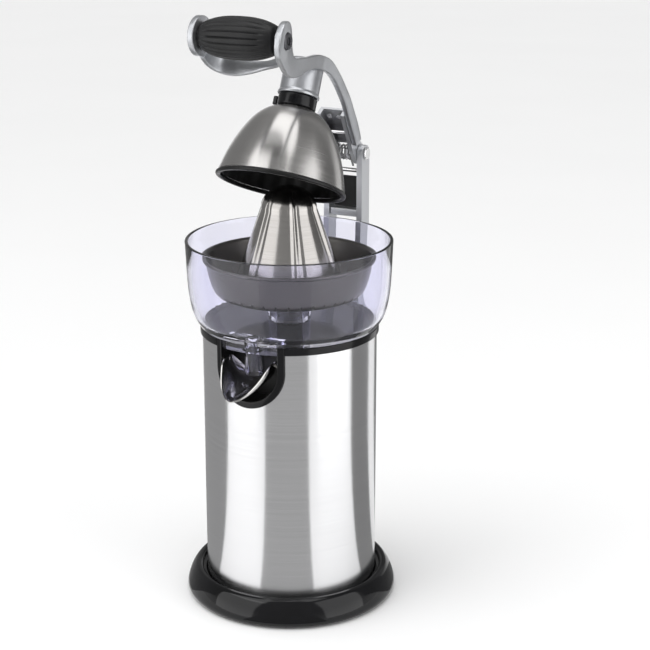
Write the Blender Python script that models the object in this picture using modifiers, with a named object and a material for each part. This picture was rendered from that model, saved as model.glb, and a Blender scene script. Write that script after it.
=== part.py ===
"""Citrus press juicer: steel drum on a flared base, clear bowl, fluted reamer and a rear lever press.

Metres, +Z up, the juice spout faces -Y and the lever post stands at +Y. Z = 0 is the flat underside
of the base. The lever pieces are drawn with the dome pressed straight down over the reamer and then
turned up by LEVER_REST about the pivot pin.
"""
import math

import bmesh
import bpy
from mathutils import Matrix, Vector

GAP = 0.0003

# Housing and base
HOUSING_R = 0.0575
STEEL_WALL = 0.0010
SKIRT_R = 0.0712
SHELF_Z = 0.0096
BAND_BOTTOM = 0.1824
BAND_TOP = 0.1872
BAND_R = 0.0589
FOOT_R = 0.0060
FOOT_RING_R = 0.0520
GLAND_Z = 0.0260

# Spout opening in the front of the drum
MOUTH_R = 0.0200
MOUTH_CENTRE_Z = 0.1700
TRIM_WIDTH = 0.0045
SPOUT_PIVOT = Vector((0.0, -0.0500, 0.1740))

# Bowl, strainer and reamer
BOWL_RIM_R = 0.0678
BOWL_RIM_Z = 0.2438
NOZZLE_Y = -0.0480
REAMER_BOTTOM = 0.2140
REAMER_TIP = 0.2790
RIB_COUNT = 6
RIB_PHASE = math.radians(6.0)

# Gear train
MODULE = 0.0012
PINION_TEETH = 10
WHEEL_TEETH = 32
GEAR_CENTRES = MODULE * (PINION_TEETH + WHEEL_TEETH) / 2

# Lever post and lever
PIVOT = Vector((0.0, 0.0850, 0.2860))
LEVER_REST = math.radians(25.0)
RAIL_INNER_X = 0.0105
RAIL_THICK = 0.0040
RAIL_DEPTH = 0.0120
RAIL_BOTTOM = 0.1180
HUB_R = 0.0128
DOME_R = 0.0412
DOME_RIM_Z = 0.2428
DOME_TOP_Z = 0.2913
GRIP_AXIS = Vector((0.0, -0.0875, 0.3090))
GRIP_LENGTH = 0.0500
GRIP_R = 0.0131
LEVER_AXIS = "lever_axis"


def clear_scene():
    for obj in list(bpy.data.objects):
        bpy.data.objects.remove(obj, do_unlink=True)


def make_collections():
    parts = bpy.data.collections.new("citrus_press_juicer")
    cutters = bpy.data.collections.new("cutters")
    bpy.context.scene.collection.children.link(parts)
    bpy.context.scene.collection.children.link(cutters)
    return parts, cutters


def material(name, colour, metallic, roughness, transmission=0.0):
    mat = bpy.data.materials.new(name)
    mat.use_nodes = True
    shader = mat.node_tree.nodes["Principled BSDF"]
    shader.inputs["Base Color"].default_value = (*colour, 1.0)
    shader.inputs["Metallic"].default_value = metallic
    shader.inputs["Roughness"].default_value = roughness
    shader.inputs["Transmission Weight"].default_value = transmission
    return mat


def steel(name, roughness=0.28):
    return material(name, (0.62, 0.62, 0.62), 1.0, roughness)


def cast_metal(name):
    return material(name, (0.70, 0.71, 0.72), 1.0, 0.38)


def black_plastic(name, roughness=0.35):
    return material(name, (0.012, 0.012, 0.013), 0.0, roughness)


def add_object(name, mesh, mat, collection, smooth=True):
    """Link a mesh under a name, give it its own material and shade it."""
    obj = bpy.data.objects.new(name, mesh)
    collection.objects.link(obj)
    if mat is not None:
        mesh.materials.append(mat)
    for face in mesh.polygons:
        face.use_smooth = smooth
    return obj


def mesh_from(bm, name):
    bmesh.ops.recalc_face_normals(bm, faces=bm.faces)
    mesh = bpy.data.meshes.new(name)
    bm.to_mesh(mesh)
    bm.free()
    return mesh


def turned(name, outline, mat, collection, steps=32, centre=(0.0, 0.0)):
    """Spin a (radius, height) outline about a vertical axis.

    The outline runs down its outer side. When it starts on the axis it also ends there, otherwise
    it is closed into a ring.
    """
    on_axis = outline[0][0] == 0.0
    count = len(outline)
    edges = [(i, i + 1) for i in range(count - 1)]
    if not on_axis:
        edges.append((count - 1, 0))
    mesh = bpy.data.meshes.new(name)
    mesh.from_pydata([(r, 0.0, z) for r, z in outline], edges, [])
    obj = add_object(name, mesh, mat, collection)
    obj.location = (centre[0], centre[1], 0.0)
    spin = obj.modifiers.new("spin", "SCREW")
    spin.steps = steps
    spin.render_steps = steps
    spin.use_merge_vertices = True
    spin.merge_threshold = 0.00001
    spin.use_normal_calculate = False
    spin.use_smooth_shade = True
    return obj


def lofted(name, sections, mat, collection, smooth=True):
    """Join a row of equal point loops with quads and cap the two ends."""
    bm = bmesh.new()
    loops = [[bm.verts.new(point) for point in section] for section in sections]
    for first, second in zip(loops, loops[1:]):
        size = len(first)
        for i in range(size):
            j = (i + 1) % size
            bm.faces.new((first[i], first[j], second[j], second[i]))
    bm.faces.new(list(reversed(loops[0])))
    bm.faces.new(loops[-1])
    return add_object(name, mesh_from(bm, name), mat, collection, smooth)


def welded_mesh(source, name):
    """Turn a curve object into a closed mesh and drop the curve."""
    evaluated = source.evaluated_get(bpy.context.evaluated_depsgraph_get())
    mesh = bpy.data.meshes.new_from_object(evaluated)
    mesh.name = name
    bpy.data.objects.remove(source, do_unlink=True)
    bm = bmesh.new()
    bm.from_mesh(mesh)
    bmesh.ops.remove_doubles(bm, verts=bm.verts, dist=0.000005)
    bmesh.ops.recalc_face_normals(bm, faces=bm.faces)
    bm.to_mesh(mesh)
    bm.free()
    mesh.materials.clear()
    return mesh


def curve_object(name, points, cyclic):
    curve = bpy.data.curves.new(name, "CURVE")
    spline = curve.splines.new("POLY")
    spline.points.add(len(points) - 1)
    for target, point in zip(spline.points, points):
        target.co = (*point, 1.0)
    spline.use_cyclic_u = cyclic
    source = bpy.data.objects.new(f"{name}_curve", curve)
    bpy.context.scene.collection.objects.link(source)
    return source


FACING = {
    "X": Matrix(((0, 0, 1), (1, 0, 0), (0, 1, 0))).to_4x4(),
    "Y": Matrix(((1, 0, 0), (0, 0, 1), (0, 1, 0))).to_4x4(),
    "Z": Matrix.Identity(4),
}


def prism(name, outline, low, high, mat, collection, axis="X", smooth=False):
    """Extrude a flat outline along an axis: (y, z) outlines along X, (x, z) along Y, (x, y) along Z."""
    source = curve_object(name, [(u, v, 0.0) for u, v in outline], True)
    source.data.dimensions = "2D"
    source.data.fill_mode = "BOTH"
    source.data.extrude = abs(high - low) / 2
    mesh = welded_mesh(source, name)
    mesh.transform(FACING[axis] @ Matrix.Translation((0.0, 0.0, (low + high) / 2)))
    bm = bmesh.new()
    bm.from_mesh(mesh)
    bmesh.ops.recalc_face_normals(bm, faces=bm.faces)
    bm.to_mesh(mesh)
    bm.free()
    return add_object(name, mesh, mat, collection, smooth)


def block(name, low, high, mat, collection):
    low = Vector(low)
    high = Vector(high)
    bm = bmesh.new()
    scale = Matrix.Diagonal((*(high - low), 1.0))
    bmesh.ops.create_cube(bm, size=1.0, matrix=Matrix.Translation((low + high) / 2) @ scale)
    return add_object(name, mesh_from(bm, name), mat, collection, smooth=False)


def rod(name, radius, start, end, mat, collection, sides=16):
    """Straight round bar between two points."""
    start = Vector(start)
    end = Vector(end)
    turn = (end - start).to_track_quat("Z", "Y").to_matrix().to_4x4()
    bm = bmesh.new()
    bmesh.ops.create_cone(
        bm, cap_ends=True, segments=sides, radius1=radius, radius2=radius, depth=(end - start).length,
        matrix=Matrix.Translation((start + end) / 2) @ turn)
    obj = add_object(name, mesh_from(bm, name), mat, collection)
    obj.data.set_sharp_from_angle(angle=math.radians(40.0))
    return obj


def bevel(obj, width, segments=1):
    mod = obj.modifiers.new("edges", "BEVEL")
    mod.width = width
    mod.segments = segments
    mod.limit_method = "ANGLE"
    mod.angle_limit = math.radians(40.0)
    return obj


def boolean(obj, tool, operation):
    mod = obj.modifiers.new(operation.lower(), "BOOLEAN")
    mod.operation = operation
    mod.solver = "EXACT"
    mod.object = tool
    tool.hide_render = True
    tool.display_type = "WIRE"
    return obj


def arc(centre, radius, start, end, steps):
    """Points on a flat circle from one angle to another, in degrees."""
    points = []
    for i in range(steps + 1):
        angle = math.radians(start + (end - start) * i / steps)
        points.append((centre[0] + radius * math.cos(angle), centre[1] + radius * math.sin(angle)))
    return points


def lever_axis(parts):
    """Empty on the pivot pin, turned up to the rest position. The lever pieces hang from it."""
    axis = bpy.data.objects.new(LEVER_AXIS, None)
    parts.objects.link(axis)
    axis.location = PIVOT
    axis.rotation_euler = (-LEVER_REST, 0.0, 0.0)
    return axis


def on_lever(obj):
    """Hang a piece drawn in the pressed position from the lever's axis."""
    obj.parent = bpy.data.objects[LEVER_AXIS]
    obj.matrix_parent_inverse = Matrix.Translation(-PIVOT)
    return obj


def set_origin(obj, origin):
    """Move an object's origin while its shape stays where it is."""
    obj.data.transform(Matrix.Translation(obj.location - Vector(origin)))
    obj.location = origin
    return obj


# Base ------------------------------------------------------------------------------------------------

def base_skirt(parts):
    outline = [
        (0.0614, 0.0166), (0.0638, 0.0168), (0.0670, 0.0139), (0.0696, 0.0088), (SKIRT_R, 0.0030),
        (0.0704, 0.0), (0.0662, 0.0), (0.0656, 0.0064), (0.0500, 0.0064), (0.0500, SHELF_Z),
        (0.0580, SHELF_Z), (0.0582, 0.0130), (0.0606, 0.0130),
    ]
    return turned("base_skirt", outline, black_plastic("skirt_gloss", 0.12), parts, steps=36)


def foot_centres():
    return [(FOOT_RING_R * math.cos(math.radians(a)), FOOT_RING_R * math.sin(math.radians(a)))
            for a in (45.0, 135.0, 225.0, 315.0)]


def screw_centres():
    return [(0.0560 * math.cos(math.radians(a)), 0.0560 * math.sin(math.radians(a)))
            for a in (90.0, 210.0, 330.0)]


def bottom_cover(parts, cutters):
    outline = [(0.0, 0.0028), (0.0630, 0.0028), (0.0655, 0.0016), (0.0655, 0.0), (0.0, 0.0)]
    cover = turned("bottom_cover", outline, black_plastic("cover_plastic", 0.5), parts, steps=30)
    for i, (x, y) in enumerate(foot_centres()):
        pocket = rod(f"foot_pocket_{i + 1}", FOOT_R + GAP, (x, y, -0.002), (x, y, 0.0010), None, cutters)
        boolean(cover, pocket, "DIFFERENCE")
    for i, (x, y) in enumerate(screw_centres()):
        sink = rod(f"screw_sink_{i + 1}", 0.0033, (x, y, -0.002), (x, y, 0.0015), None, cutters, 12)
        boolean(cover, sink, "DIFFERENCE")
    return cover


def feet_and_screws(parts):
    for i, (x, y) in enumerate(foot_centres()):
        outline = [(0.0, 0.0007), (FOOT_R, 0.0007), (FOOT_R, -0.0012), (0.0052, -0.0020), (0.0, -0.0020)]
        turned(f"foot_{i + 1}", outline, material(f"foot_rubber_{i + 1}", (0.02, 0.02, 0.02), 0.0, 0.8),
               parts, steps=16, centre=(x, y))
    for i, (x, y) in enumerate(screw_centres()):
        outline = [(0.0, 0.0012), (0.0029, 0.0012), (0.0029, 0.0003), (0.0024, 0.0001), (0.0, 0.0001)]
        turned(f"cover_screw_{i + 1}", outline, steel(f"cover_screw_steel_{i + 1}"), parts, steps=12,
               centre=(x, y))


def cord_gland(parts):
    """Rubber grommet in the back of the drum, just above the base."""
    outline = [(0.0050, 0.0600), (0.0056, 0.0592), (0.0056, 0.0580), (0.0039, 0.0580), (0.0039, 0.0550),
               (0.0022, 0.0550), (0.0022, 0.0600)]
    gland = turned("cord_gland", outline, black_plastic("gland_rubber", 0.7), parts, steps=16)
    gland.rotation_euler = (math.radians(-90.0), 0.0, 0.0)
    gland.location = (0.0, 0.0, GLAND_Z)
    return gland


# Drum ------------------------------------------------------------------------------------------------

def mouth_outline(radius, top):
    """U shape seen from the front, open side up."""
    side = [(-radius, top)]
    bottom = arc((0.0, MOUTH_CENTRE_Z), radius, 180.0, 360.0, 14)
    return side + bottom + [(radius, top)]


def steel_shell(parts, cutters):
    top = BAND_BOTTOM + 0.0022
    outer = HOUSING_R
    inner = HOUSING_R - STEEL_WALL
    low = SHELF_Z + GAP
    outline = [(outer, top), (outer, low), (inner, low), (inner, top)]
    shell = turned("steel_shell", outline, steel("shell_brushed_steel", 0.25), parts, steps=56)
    mouth = prism("shell_mouth", mouth_outline(0.0228, 0.20), -0.0700, -0.0300, None, cutters, "Y")
    hole = rod("gland_hole", 0.0042, (0.0, 0.0500, GLAND_Z), (0.0, 0.0650, GLAND_Z), None, cutters)
    boolean(shell, mouth, "DIFFERENCE")
    return boolean(shell, hole, "DIFFERENCE")


def front_y(x, radius):
    return -math.sqrt(radius * radius - x * x)


def spout_trim(parts):
    """Black edging round the U opening, following the drum's curve."""
    inner = mouth_outline(MOUTH_R, BAND_TOP)
    outer = mouth_outline(MOUTH_R + TRIM_WIDTH, BAND_TOP)
    sections = []
    for (xi, zi), (xo, zo) in zip(inner, outer):
        low = HOUSING_R + GAP
        sections.append([
            (xi, front_y(xi, low), zi), (xo, front_y(xo, low), zo),
            (xo, front_y(xo, BAND_R), zo), (xi, front_y(xi, BAND_R), zi),
        ])
    return lofted("spout_trim", sections, black_plastic("trim_gloss_u", 0.2), parts, smooth=False)


def top_trim(parts, cutters):
    """Black band capping the drum, open at the front where the U edging meets it."""
    lip = HOUSING_R + GAP
    seat = BAND_BOTTOM + 0.0025
    outline = [
        (BAND_R, BAND_TOP), (BAND_R, BAND_BOTTOM), (lip, BAND_BOTTOM), (lip, seat), (0.0562, seat),
        (0.0562, 0.1810), (0.0547, 0.1810), (0.0547, BAND_TOP),
    ]
    band = turned("top_trim", outline, black_plastic("trim_gloss", 0.2), parts, steps=40)
    reach = MOUTH_R + TRIM_WIDTH + GAP
    gap = block("trim_gap", (-reach, -0.0650, 0.1780), (reach, -0.0400, 0.1900), None, cutters)
    return boolean(band, gap, "DIFFERENCE")


def spout_housing(parts, cutters):
    """Black pocket behind the U opening."""
    outside = mouth_outline(0.0222, 0.1840)
    front = [(x, front_y(x, HOUSING_R), z) for x, z in outside]
    back = [(x, -0.0375, z) for x, z in outside]
    housing = lofted("spout_housing", [front, back], black_plastic("housing_black", 0.45), parts,
                     smooth=False)
    pocket = prism("housing_pocket", mouth_outline(0.0203, 0.20), -0.0700, -0.0390, None, cutters, "Y")
    bearing = rod("housing_bearings", 0.0019, (-0.0300, SPOUT_PIVOT.y, SPOUT_PIVOT.z),
                  (0.0300, SPOUT_PIVOT.y, SPOUT_PIVOT.z), None, cutters, 12)
    boolean(housing, bearing, "DIFFERENCE")
    return boolean(housing, pocket, "DIFFERENCE")


def drive_deck(parts, cutters):
    """Deck under the bowl with the bearing tower for the drive spindle."""
    outline = [
        (0.0084, 0.2150), (0.0086, 0.1850), (0.0544, 0.1850), (0.0544, 0.1820), (0.0100, 0.1820),
        (0.0090, 0.1700), (0.0047, 0.1700), (0.0047, 0.2150),
    ]
    deck = turned("drive_deck", outline, black_plastic("deck_plastic", 0.45), parts, steps=28)
    notch = block("deck_notch", (-0.0226, -0.0600, 0.17), (0.0226, -0.0371, 0.20), None, cutters)
    return boolean(deck, notch, "DIFFERENCE")


# Drive -----------------------------------------------------------------------------------------------

def motor_chassis(parts, cutters):
    outline = [(0.0555, 0.0970), (0.0555, 0.0940), (0.0062, 0.0940), (0.0062, 0.0970)]
    chassis = turned("motor_chassis", outline, material("chassis_zinc", (0.5, 0.5, 0.5), 1.0, 0.45),
                     parts, steps=24)
    for i, angle in enumerate((30.0, 150.0, 270.0)):
        x = 0.0530 * math.cos(math.radians(angle))
        y = 0.0530 * math.sin(math.radians(angle))
        leg = rod(f"chassis_leg_{i + 1}", 0.0022, (x, y, SHELF_Z + GAP), (x, y, 0.0955), None, cutters, 8)
        boolean(chassis, leg, "UNION")
    return chassis


def motor_can(parts):
    outline = [(0.0, 0.0937), (0.0240, 0.0937), (0.0260, 0.0910), (0.0260, 0.0330), (0.0240, 0.0300),
               (0.0, 0.0300)]
    return turned("motor_can", outline, steel("motor_steel", 0.4), parts, steps=20)


def gear(name, teeth, low, high, phase, mat, parts):
    """Spur gear with straight-sided teeth, drawn about its own vertical axis."""
    pitch_r = MODULE * teeth / 2
    tip_r = pitch_r + 0.80 * MODULE
    root_r = pitch_r - 1.25 * MODULE
    tooth = ((-0.30, root_r), (-0.10, tip_r), (0.10, tip_r), (0.30, root_r))
    outline = []
    for i in range(teeth):
        for offset, radius in tooth:
            angle = phase + (i + offset) * 2.0 * math.pi / teeth
            outline.append((radius * math.cos(angle), radius * math.sin(angle)))
    return prism(name, outline, low, high, mat, parts, "Z")


def bored(wheel, radius, cutters):
    """Drill a gear through its middle. The drill hangs from the gear, so it follows it."""
    drill = rod(f"{wheel.name}_bore", radius, (0.0, 0.0, 0.09), (0.0, 0.0, 0.13), None, cutters, 12)
    drill.parent = wheel
    return boolean(wheel, drill, "DIFFERENCE")


def gear_train(parts, cutters):
    """Motor pinion, lay gears beside it and the output wheel on the spindle, all in mesh."""
    steel_look = (0.55, 0.55, 0.55)
    nylon_look = (0.85, 0.84, 0.80)
    pinion = gear("motor_pinion", PINION_TEETH, 0.1000, 0.1064, 0.0,
                  material("motor_pinion_steel", steel_look, 1.0, 0.4), parts)
    shaft = rod("motor_shaft", 0.0018, (0.0, 0.0, 0.0940), (0.0, 0.0, 0.1068), None, cutters, 12)
    boolean(pinion, shaft, "UNION")
    wheel = gear("lay_wheel", WHEEL_TEETH, 0.1005, 0.1055, -math.pi / 2,
                 material("lay_wheel_nylon", nylon_look, 0.0, 0.5), parts)
    bored(wheel, 0.0025, cutters)
    wheel.location = (0.0, GEAR_CENTRES, 0.0)
    pinion = gear("lay_pinion", PINION_TEETH, 0.1060, 0.1210, -math.pi / 2,
                  material("lay_pinion_steel", steel_look, 1.0, 0.4), parts)
    bored(pinion, 0.0025, cutters)
    pinion.location = (0.0, GEAR_CENTRES, 0.0)
    rod("lay_shaft", 0.0021, (0.0, GEAR_CENTRES, 0.0974), (0.0, GEAR_CENTRES, 0.1236),
        steel("lay_shaft_steel"), parts, 12)
    wheel = gear("output_wheel", WHEEL_TEETH, 0.1123, 0.1178, math.pi / 2 + math.pi / WHEEL_TEETH,
                 material("output_wheel_nylon", nylon_look, 0.0, 0.5), parts)
    bored(wheel, 0.0045, cutters)


def thrust_plate(parts):
    """Washer under the output wheel that slides down with the spindle and works the switch."""
    outline = [(0.0145, 0.1120), (0.0145, 0.1104), (0.0045, 0.1104), (0.0045, 0.1120)]
    return turned("thrust_plate", outline, steel("thrust_steel", 0.35), parts, steps=20)


def drive_spindle(parts):
    outline = [(0.0, 0.2460), (0.0034, 0.2460), (0.0040, 0.2445), (0.0040, 0.1110), (0.0, 0.1110)]
    return turned("drive_spindle", outline, steel("spindle_steel", 0.2), parts, steps=16)


def gear_cap(parts, cutters):
    """Upper bearing plate of the gear train, carried on three posts and carrying the deck."""
    outline = [(0.0540, 0.1270), (0.0540, 0.1240), (0.0045, 0.1240), (0.0045, 0.1270)]
    cap = turned("gear_cap", outline, black_plastic("gear_cap_plastic", 0.5), parts, steps=24)
    for i, angle in enumerate((0.0, 180.0, 90.0)):
        radius = 0.0505
        x = radius * math.cos(math.radians(angle))
        y = radius * math.sin(math.radians(angle))
        post = rod(f"cap_post_{i + 1}", 0.0025, (x, y, 0.0970 + GAP), (x, y, 0.1820 - GAP), None, cutters, 8)
        boolean(cap, post, "UNION")
    return cap


def press_switch(parts, cutters):
    body = block("press_switch", (-0.0045, -0.0165, 0.0970 + GAP), (0.0045, -0.0085, 0.1040),
                 black_plastic("switch_plastic", 0.5), parts)
    bore = rod("switch_bore", 0.0017, (0.0, -0.0125, 0.0990), (0.0, -0.0125, 0.1060), None, cutters, 12)
    boolean(body, bore, "DIFFERENCE")
    outline = [(0.0, 0.1101), (0.0011, 0.1101), (0.0014, 0.1096), (0.0014, 0.1025), (0.0, 0.1025)]
    turned("switch_plunger", outline, material("plunger_white", (0.8, 0.8, 0.8), 0.0, 0.4), parts,
           steps=12, centre=(0.0, -0.0125))


# Bowl, strainer and reamer ---------------------------------------------------------------------------

def juice_bowl(parts, cutters):
    floor = BAND_TOP + GAP
    outline = [
        (BOWL_RIM_R, BOWL_RIM_Z), (0.0672, 0.2270), (0.0663, 0.2120), (0.0646, 0.2008),
        (0.0622, 0.1935), (0.0594, floor), (0.0092, floor), (0.0092, 0.2262), (0.0110, 0.2262),
        (0.0113, 0.2072), (0.0136, 0.2072), (0.0142, 0.1900), (0.0570, 0.1900), (0.0600, 0.1945),
        (0.0624, 0.2025), (0.0640, 0.2125), (0.0649, 0.2270), (0.0656, BOWL_RIM_Z),
    ]
    clear = material("bowl_clear", (0.85, 0.86, 0.95), 0.0, 0.05, transmission=0.9)
    bowl = turned("juice_bowl", outline, clear, parts, steps=36)
    plan = [(x, front_y(x, 0.0580)) for x in (-0.0197, -0.0120, 0.0, 0.0120, 0.0197)]
    plan += [(0.0197, -0.0420), (-0.0197, -0.0420)]
    outlet = prism("bowl_outlet", plan, 0.1822, 0.1888, None, cutters, "Z")
    nozzle = rod("bowl_nozzle", 0.0063, (0.0, NOZZLE_Y, 0.1660), (0.0, NOZZLE_Y, 0.1850), None, cutters)
    drain = rod("bowl_drain", 0.0047, (0.0, NOZZLE_Y, 0.1600), (0.0, NOZZLE_Y, 0.1950), None, cutters)
    boolean(bowl, outlet, "UNION")
    boolean(bowl, nozzle, "UNION")
    return boolean(bowl, drain, "DIFFERENCE")


def strainer(parts, cutters):
    outline = [
        (0.0578, 0.2324), (0.0578, 0.2310), (0.0558, 0.2300), (0.0502, 0.2120), (0.0450, 0.2075),
        (0.0119, 0.2075), (0.0119, 0.2087), (0.0446, 0.2087), (0.0492, 0.2127), (0.0550, 0.2312),
        (0.0560, 0.2324),
    ]
    basin = turned("strainer", outline, steel("strainer_steel", 0.4), parts, steps=32)
    slots = 8
    for i in range(slots):
        angle = 2.0 * math.pi * i / slots
        slot = block(f"strainer_slot_{i + 1}", (0.0385, -0.0012, 0.2050), (0.0430, 0.0012, 0.2110), None,
                     cutters)
        slot.rotation_euler = (0.0, 0.0, angle)
        boolean(basin, slot, "DIFFERENCE")
    return basin


def reamer_radius(z):
    """Radius between the ribs at a height: straight flank, then a rounded tip."""
    flank = 0.0354 - 0.359 * (z - 0.2160)
    tip_start = 0.2640
    if z <= tip_start:
        return flank
    base = 0.0354 - 0.359 * (tip_start - 0.2160)
    t = (z - tip_start) / (REAMER_TIP - tip_start)
    return base * math.sqrt(max(0.0, 1.0 - t * t))


def reamer_ring(z, thickness, rib, count=36):
    ring = []
    for i in range(count):
        angle = RIB_PHASE + 2.0 * math.pi * i / count
        phase = (i * RIB_COUNT / count) % 1.0
        near = min(phase, 1.0 - phase) * 2.0
        radius = reamer_radius(z) - thickness + rib * max(0.0, 1.0 - near * 3.0)
        ring.append((radius * math.cos(angle), radius * math.sin(angle), z))
    return ring


def reamer_cone(parts):
    """Thin steel cone with six ribs, hollow underneath."""
    heights = (REAMER_BOTTOM, 0.2200, 0.2320, 0.2450, 0.2560, 0.2640, 0.2710, 0.2755, 0.2780)
    inside = (0.2690, 0.2640, 0.2540, 0.2380, REAMER_BOTTOM)
    bm = bmesh.new()
    loops = []
    for z in heights:
        rib = 0.0015 if z < 0.2700 else 0.0008
        loops.append([bm.verts.new(p) for p in reamer_ring(z, 0.0, rib)])
    tip = bm.verts.new((0.0, 0.0, REAMER_TIP))
    under = [[bm.verts.new(p) for p in reamer_ring(z, 0.0018, 0.0)] for z in inside]
    under_tip = bm.verts.new((0.0, 0.0, 0.2730))
    for rows in (loops, under):
        for first, second in zip(rows, rows[1:]):
            for i in range(len(first)):
                j = (i + 1) % len(first)
                bm.faces.new((first[i], first[j], second[j], second[i]))
    count = len(loops[0])
    for i in range(count):
        j = (i + 1) % count
        bm.faces.new((loops[-1][i], loops[-1][j], tip))
        bm.faces.new((under[0][i], under[0][j], under_tip))
        bm.faces.new((under[-1][i], under[-1][j], loops[0][j], loops[0][i]))
    return add_object("reamer_cone", mesh_from(bm, "reamer_cone"), steel("reamer_steel", 0.18), parts)


def reamer_core(parts):
    outline = [
        (0.0, 0.2540), (0.0195, 0.2540), (0.0278, 0.2310), (0.0282, 0.2295), (0.0043, 0.2295),
        (0.0043, 0.2463), (0.0, 0.2463),
    ]
    return turned("reamer_core", outline, black_plastic("core_plastic", 0.5), parts, steps=24)


def spout_scoop(parts, cutters):
    """Pouring lip: a trough hung on two side stubs."""
    stations = (
        (-0.0430, 0.0105, 0.1600, 0.1680), (-0.0485, 0.0166, 0.1592, 0.1762),
        (-0.0550, 0.0172, 0.1586, 0.1768), (-0.0610, 0.0165, 0.1580, 0.1740),
        (-0.0670, 0.0140, 0.1574, 0.1680), (-0.0730, 0.0105, 0.1568, 0.1625),
        (-0.0775, 0.0065, 0.1562, 0.1590), (-0.0800, 0.0030, 0.1560, 0.1576),
    )
    wall = 0.0010
    sections = []
    for y, half, low, high in stations:
        outer = []
        inner = []
        for i in range(9):
            angle = math.pi * i / 8.0
            drop = math.sin(angle)
            outer.append((-half * math.cos(angle), y, high - (high - low) * drop))
            inner.append((-(half - wall) * math.cos(angle), y, high - (high - low - wall) * drop))
        sections.append(outer + list(reversed(inner)))
    scoop = lofted("spout_scoop", sections, steel("spout_steel", 0.12), parts)
    for side in (-1.0, 1.0):
        stub = rod(f"spout_stub_{'left' if side < 0 else 'right'}", 0.0016,
                   (side * 0.0160, SPOUT_PIVOT.y, SPOUT_PIVOT.z),
                   (side * 0.0219, SPOUT_PIVOT.y, SPOUT_PIVOT.z), None, cutters, 10)
        boolean(scoop, stub, "UNION")
    return set_origin(scoop, SPOUT_PIVOT)


# Lever post ------------------------------------------------------------------------------------------

def arm_bracket(parts):
    """Cast saddle bolted to the back of the drum, carrying the two rails."""
    wall = HOUSING_R + 0.0005
    hug = [(x, math.sqrt(wall * wall - x * x)) for x in (-0.026, -0.019, -0.010, 0.0, 0.010, 0.019, 0.026)]
    plan = hug + [(0.0265, 0.0560), (0.0200, 0.0610), (0.0102, 0.0680), (0.0102, 0.0905),
                  (-0.0102, 0.0905), (-0.0102, 0.0680), (-0.0200, 0.0610), (-0.0265, 0.0560)]
    saddle = prism("arm_bracket", plan, 0.1200, 0.1770, cast_metal("bracket_cast"), parts, "Z")
    return bevel(saddle, 0.0008)


def rail(name, side, parts, cutters):
    low = side * RAIL_INNER_X
    high = side * (RAIL_INNER_X + RAIL_THICK)
    half = RAIL_DEPTH / 2
    outline = [(PIVOT.y - half, RAIL_BOTTOM), (PIVOT.y + half, RAIL_BOTTOM)]
    outline += arc((PIVOT.y, PIVOT.z), half, 0.0, 180.0, 10)
    bar = prism(name, outline, low, high, cast_metal(f"{name}_cast"), parts, "X")
    hole = rod(f"{name}_hole", 0.0033, (low - side * 0.002, PIVOT.y, PIVOT.z),
               (high + side * 0.002, PIVOT.y, PIVOT.z), None, cutters)
    return boolean(bar, hole, "DIFFERENCE")


def rail_screws(parts):
    for label, side in (("left", -1.0), ("right", 1.0)):
        for row, z in (("low", 0.1320), ("high", 0.1640)):
            face = side * (RAIL_INNER_X + RAIL_THICK + GAP)
            screw = rod(f"rail_screw_{label}_{row}", 0.0034, (face, PIVOT.y, z),
                        (face + side * 0.0020, PIVOT.y, z), steel(f"rail_screw_steel_{label}_{row}"), parts, 12)
            bevel(screw, 0.0005)


def post_ties(parts):
    """Pieces that hold the two rails apart."""
    x = RAIL_INNER_X - GAP
    tie = block("rail_tie", (-x, 0.0800, 0.2420), (x, 0.0900, 0.2470), cast_metal("tie_cast"), parts)
    bevel(tie, 0.0006)
    panel = block("post_panel", (-x, 0.0868, 0.2473), (x, 0.0892, 0.2690), black_plastic("panel_black", 0.5),
                  parts)
    bevel(panel, 0.0004)
    rod("stop_pin", 0.0015, (-x, 0.0884, 0.2730), (x, 0.0884, 0.2730), steel("stop_pin_steel", 0.15), parts,
        12)


def pivot_pin(parts):
    outline = [
        (0.0, 0.0161), (0.0038, 0.0161), (0.0042, 0.0157), (0.0042, 0.0148), (0.0030, 0.0148),
        (0.0030, -0.0165), (0.0, -0.0165),
    ]
    pin = turned("pivot_pin", outline, steel("pivot_steel", 0.2), parts, steps=16)
    pin.rotation_euler = (0.0, math.radians(90.0), 0.0)
    pin.location = PIVOT
    return pin


def pivot_clip(parts):
    outline = [(0.0046, 0.0010), (0.0046, 0.0), (0.0033, 0.0), (0.0033, 0.0010)]
    clip = turned("pivot_clip", outline, steel("clip_steel"), parts, steps=16)
    clip.rotation_euler = (0.0, math.radians(-90.0), 0.0)
    clip.location = (-(RAIL_INNER_X + RAIL_THICK + GAP), PIVOT.y, PIVOT.z)
    return clip


def torsion_spring(parts):
    """Lever spring coiled on the pivot pin, one leg up the lever and one down to the stop pin."""
    wire = 0.0008
    coil_r = 0.0047
    turns = 4
    width = 0.0100
    steps = 10
    path = [Vector((-width / 2, PIVOT.y - 0.0126, PIVOT.z + 0.0130))]
    total = turns * steps + 3
    for i in range(total + 1):
        angle = math.radians(110.0) + 2.0 * math.pi * i / steps
        along = -width / 2 + width * i / total
        path.append(Vector((along, PIVOT.y + coil_r * math.cos(angle), PIVOT.z + coil_r * math.sin(angle))))
    last = path[-1]
    path.append(Vector((last.x, 0.0850, 0.2770)))
    source = curve_object("torsion_spring", path, False)
    source.data.dimensions = "3D"
    source.data.bevel_depth = wire
    source.data.bevel_resolution = 1
    source.data.use_fill_caps = True
    coil = welded_mesh(source, "torsion_spring")
    return add_object("torsion_spring", coil, steel("spring_steel", 0.2), parts)


# Lever -----------------------------------------------------------------------------------------------

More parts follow.
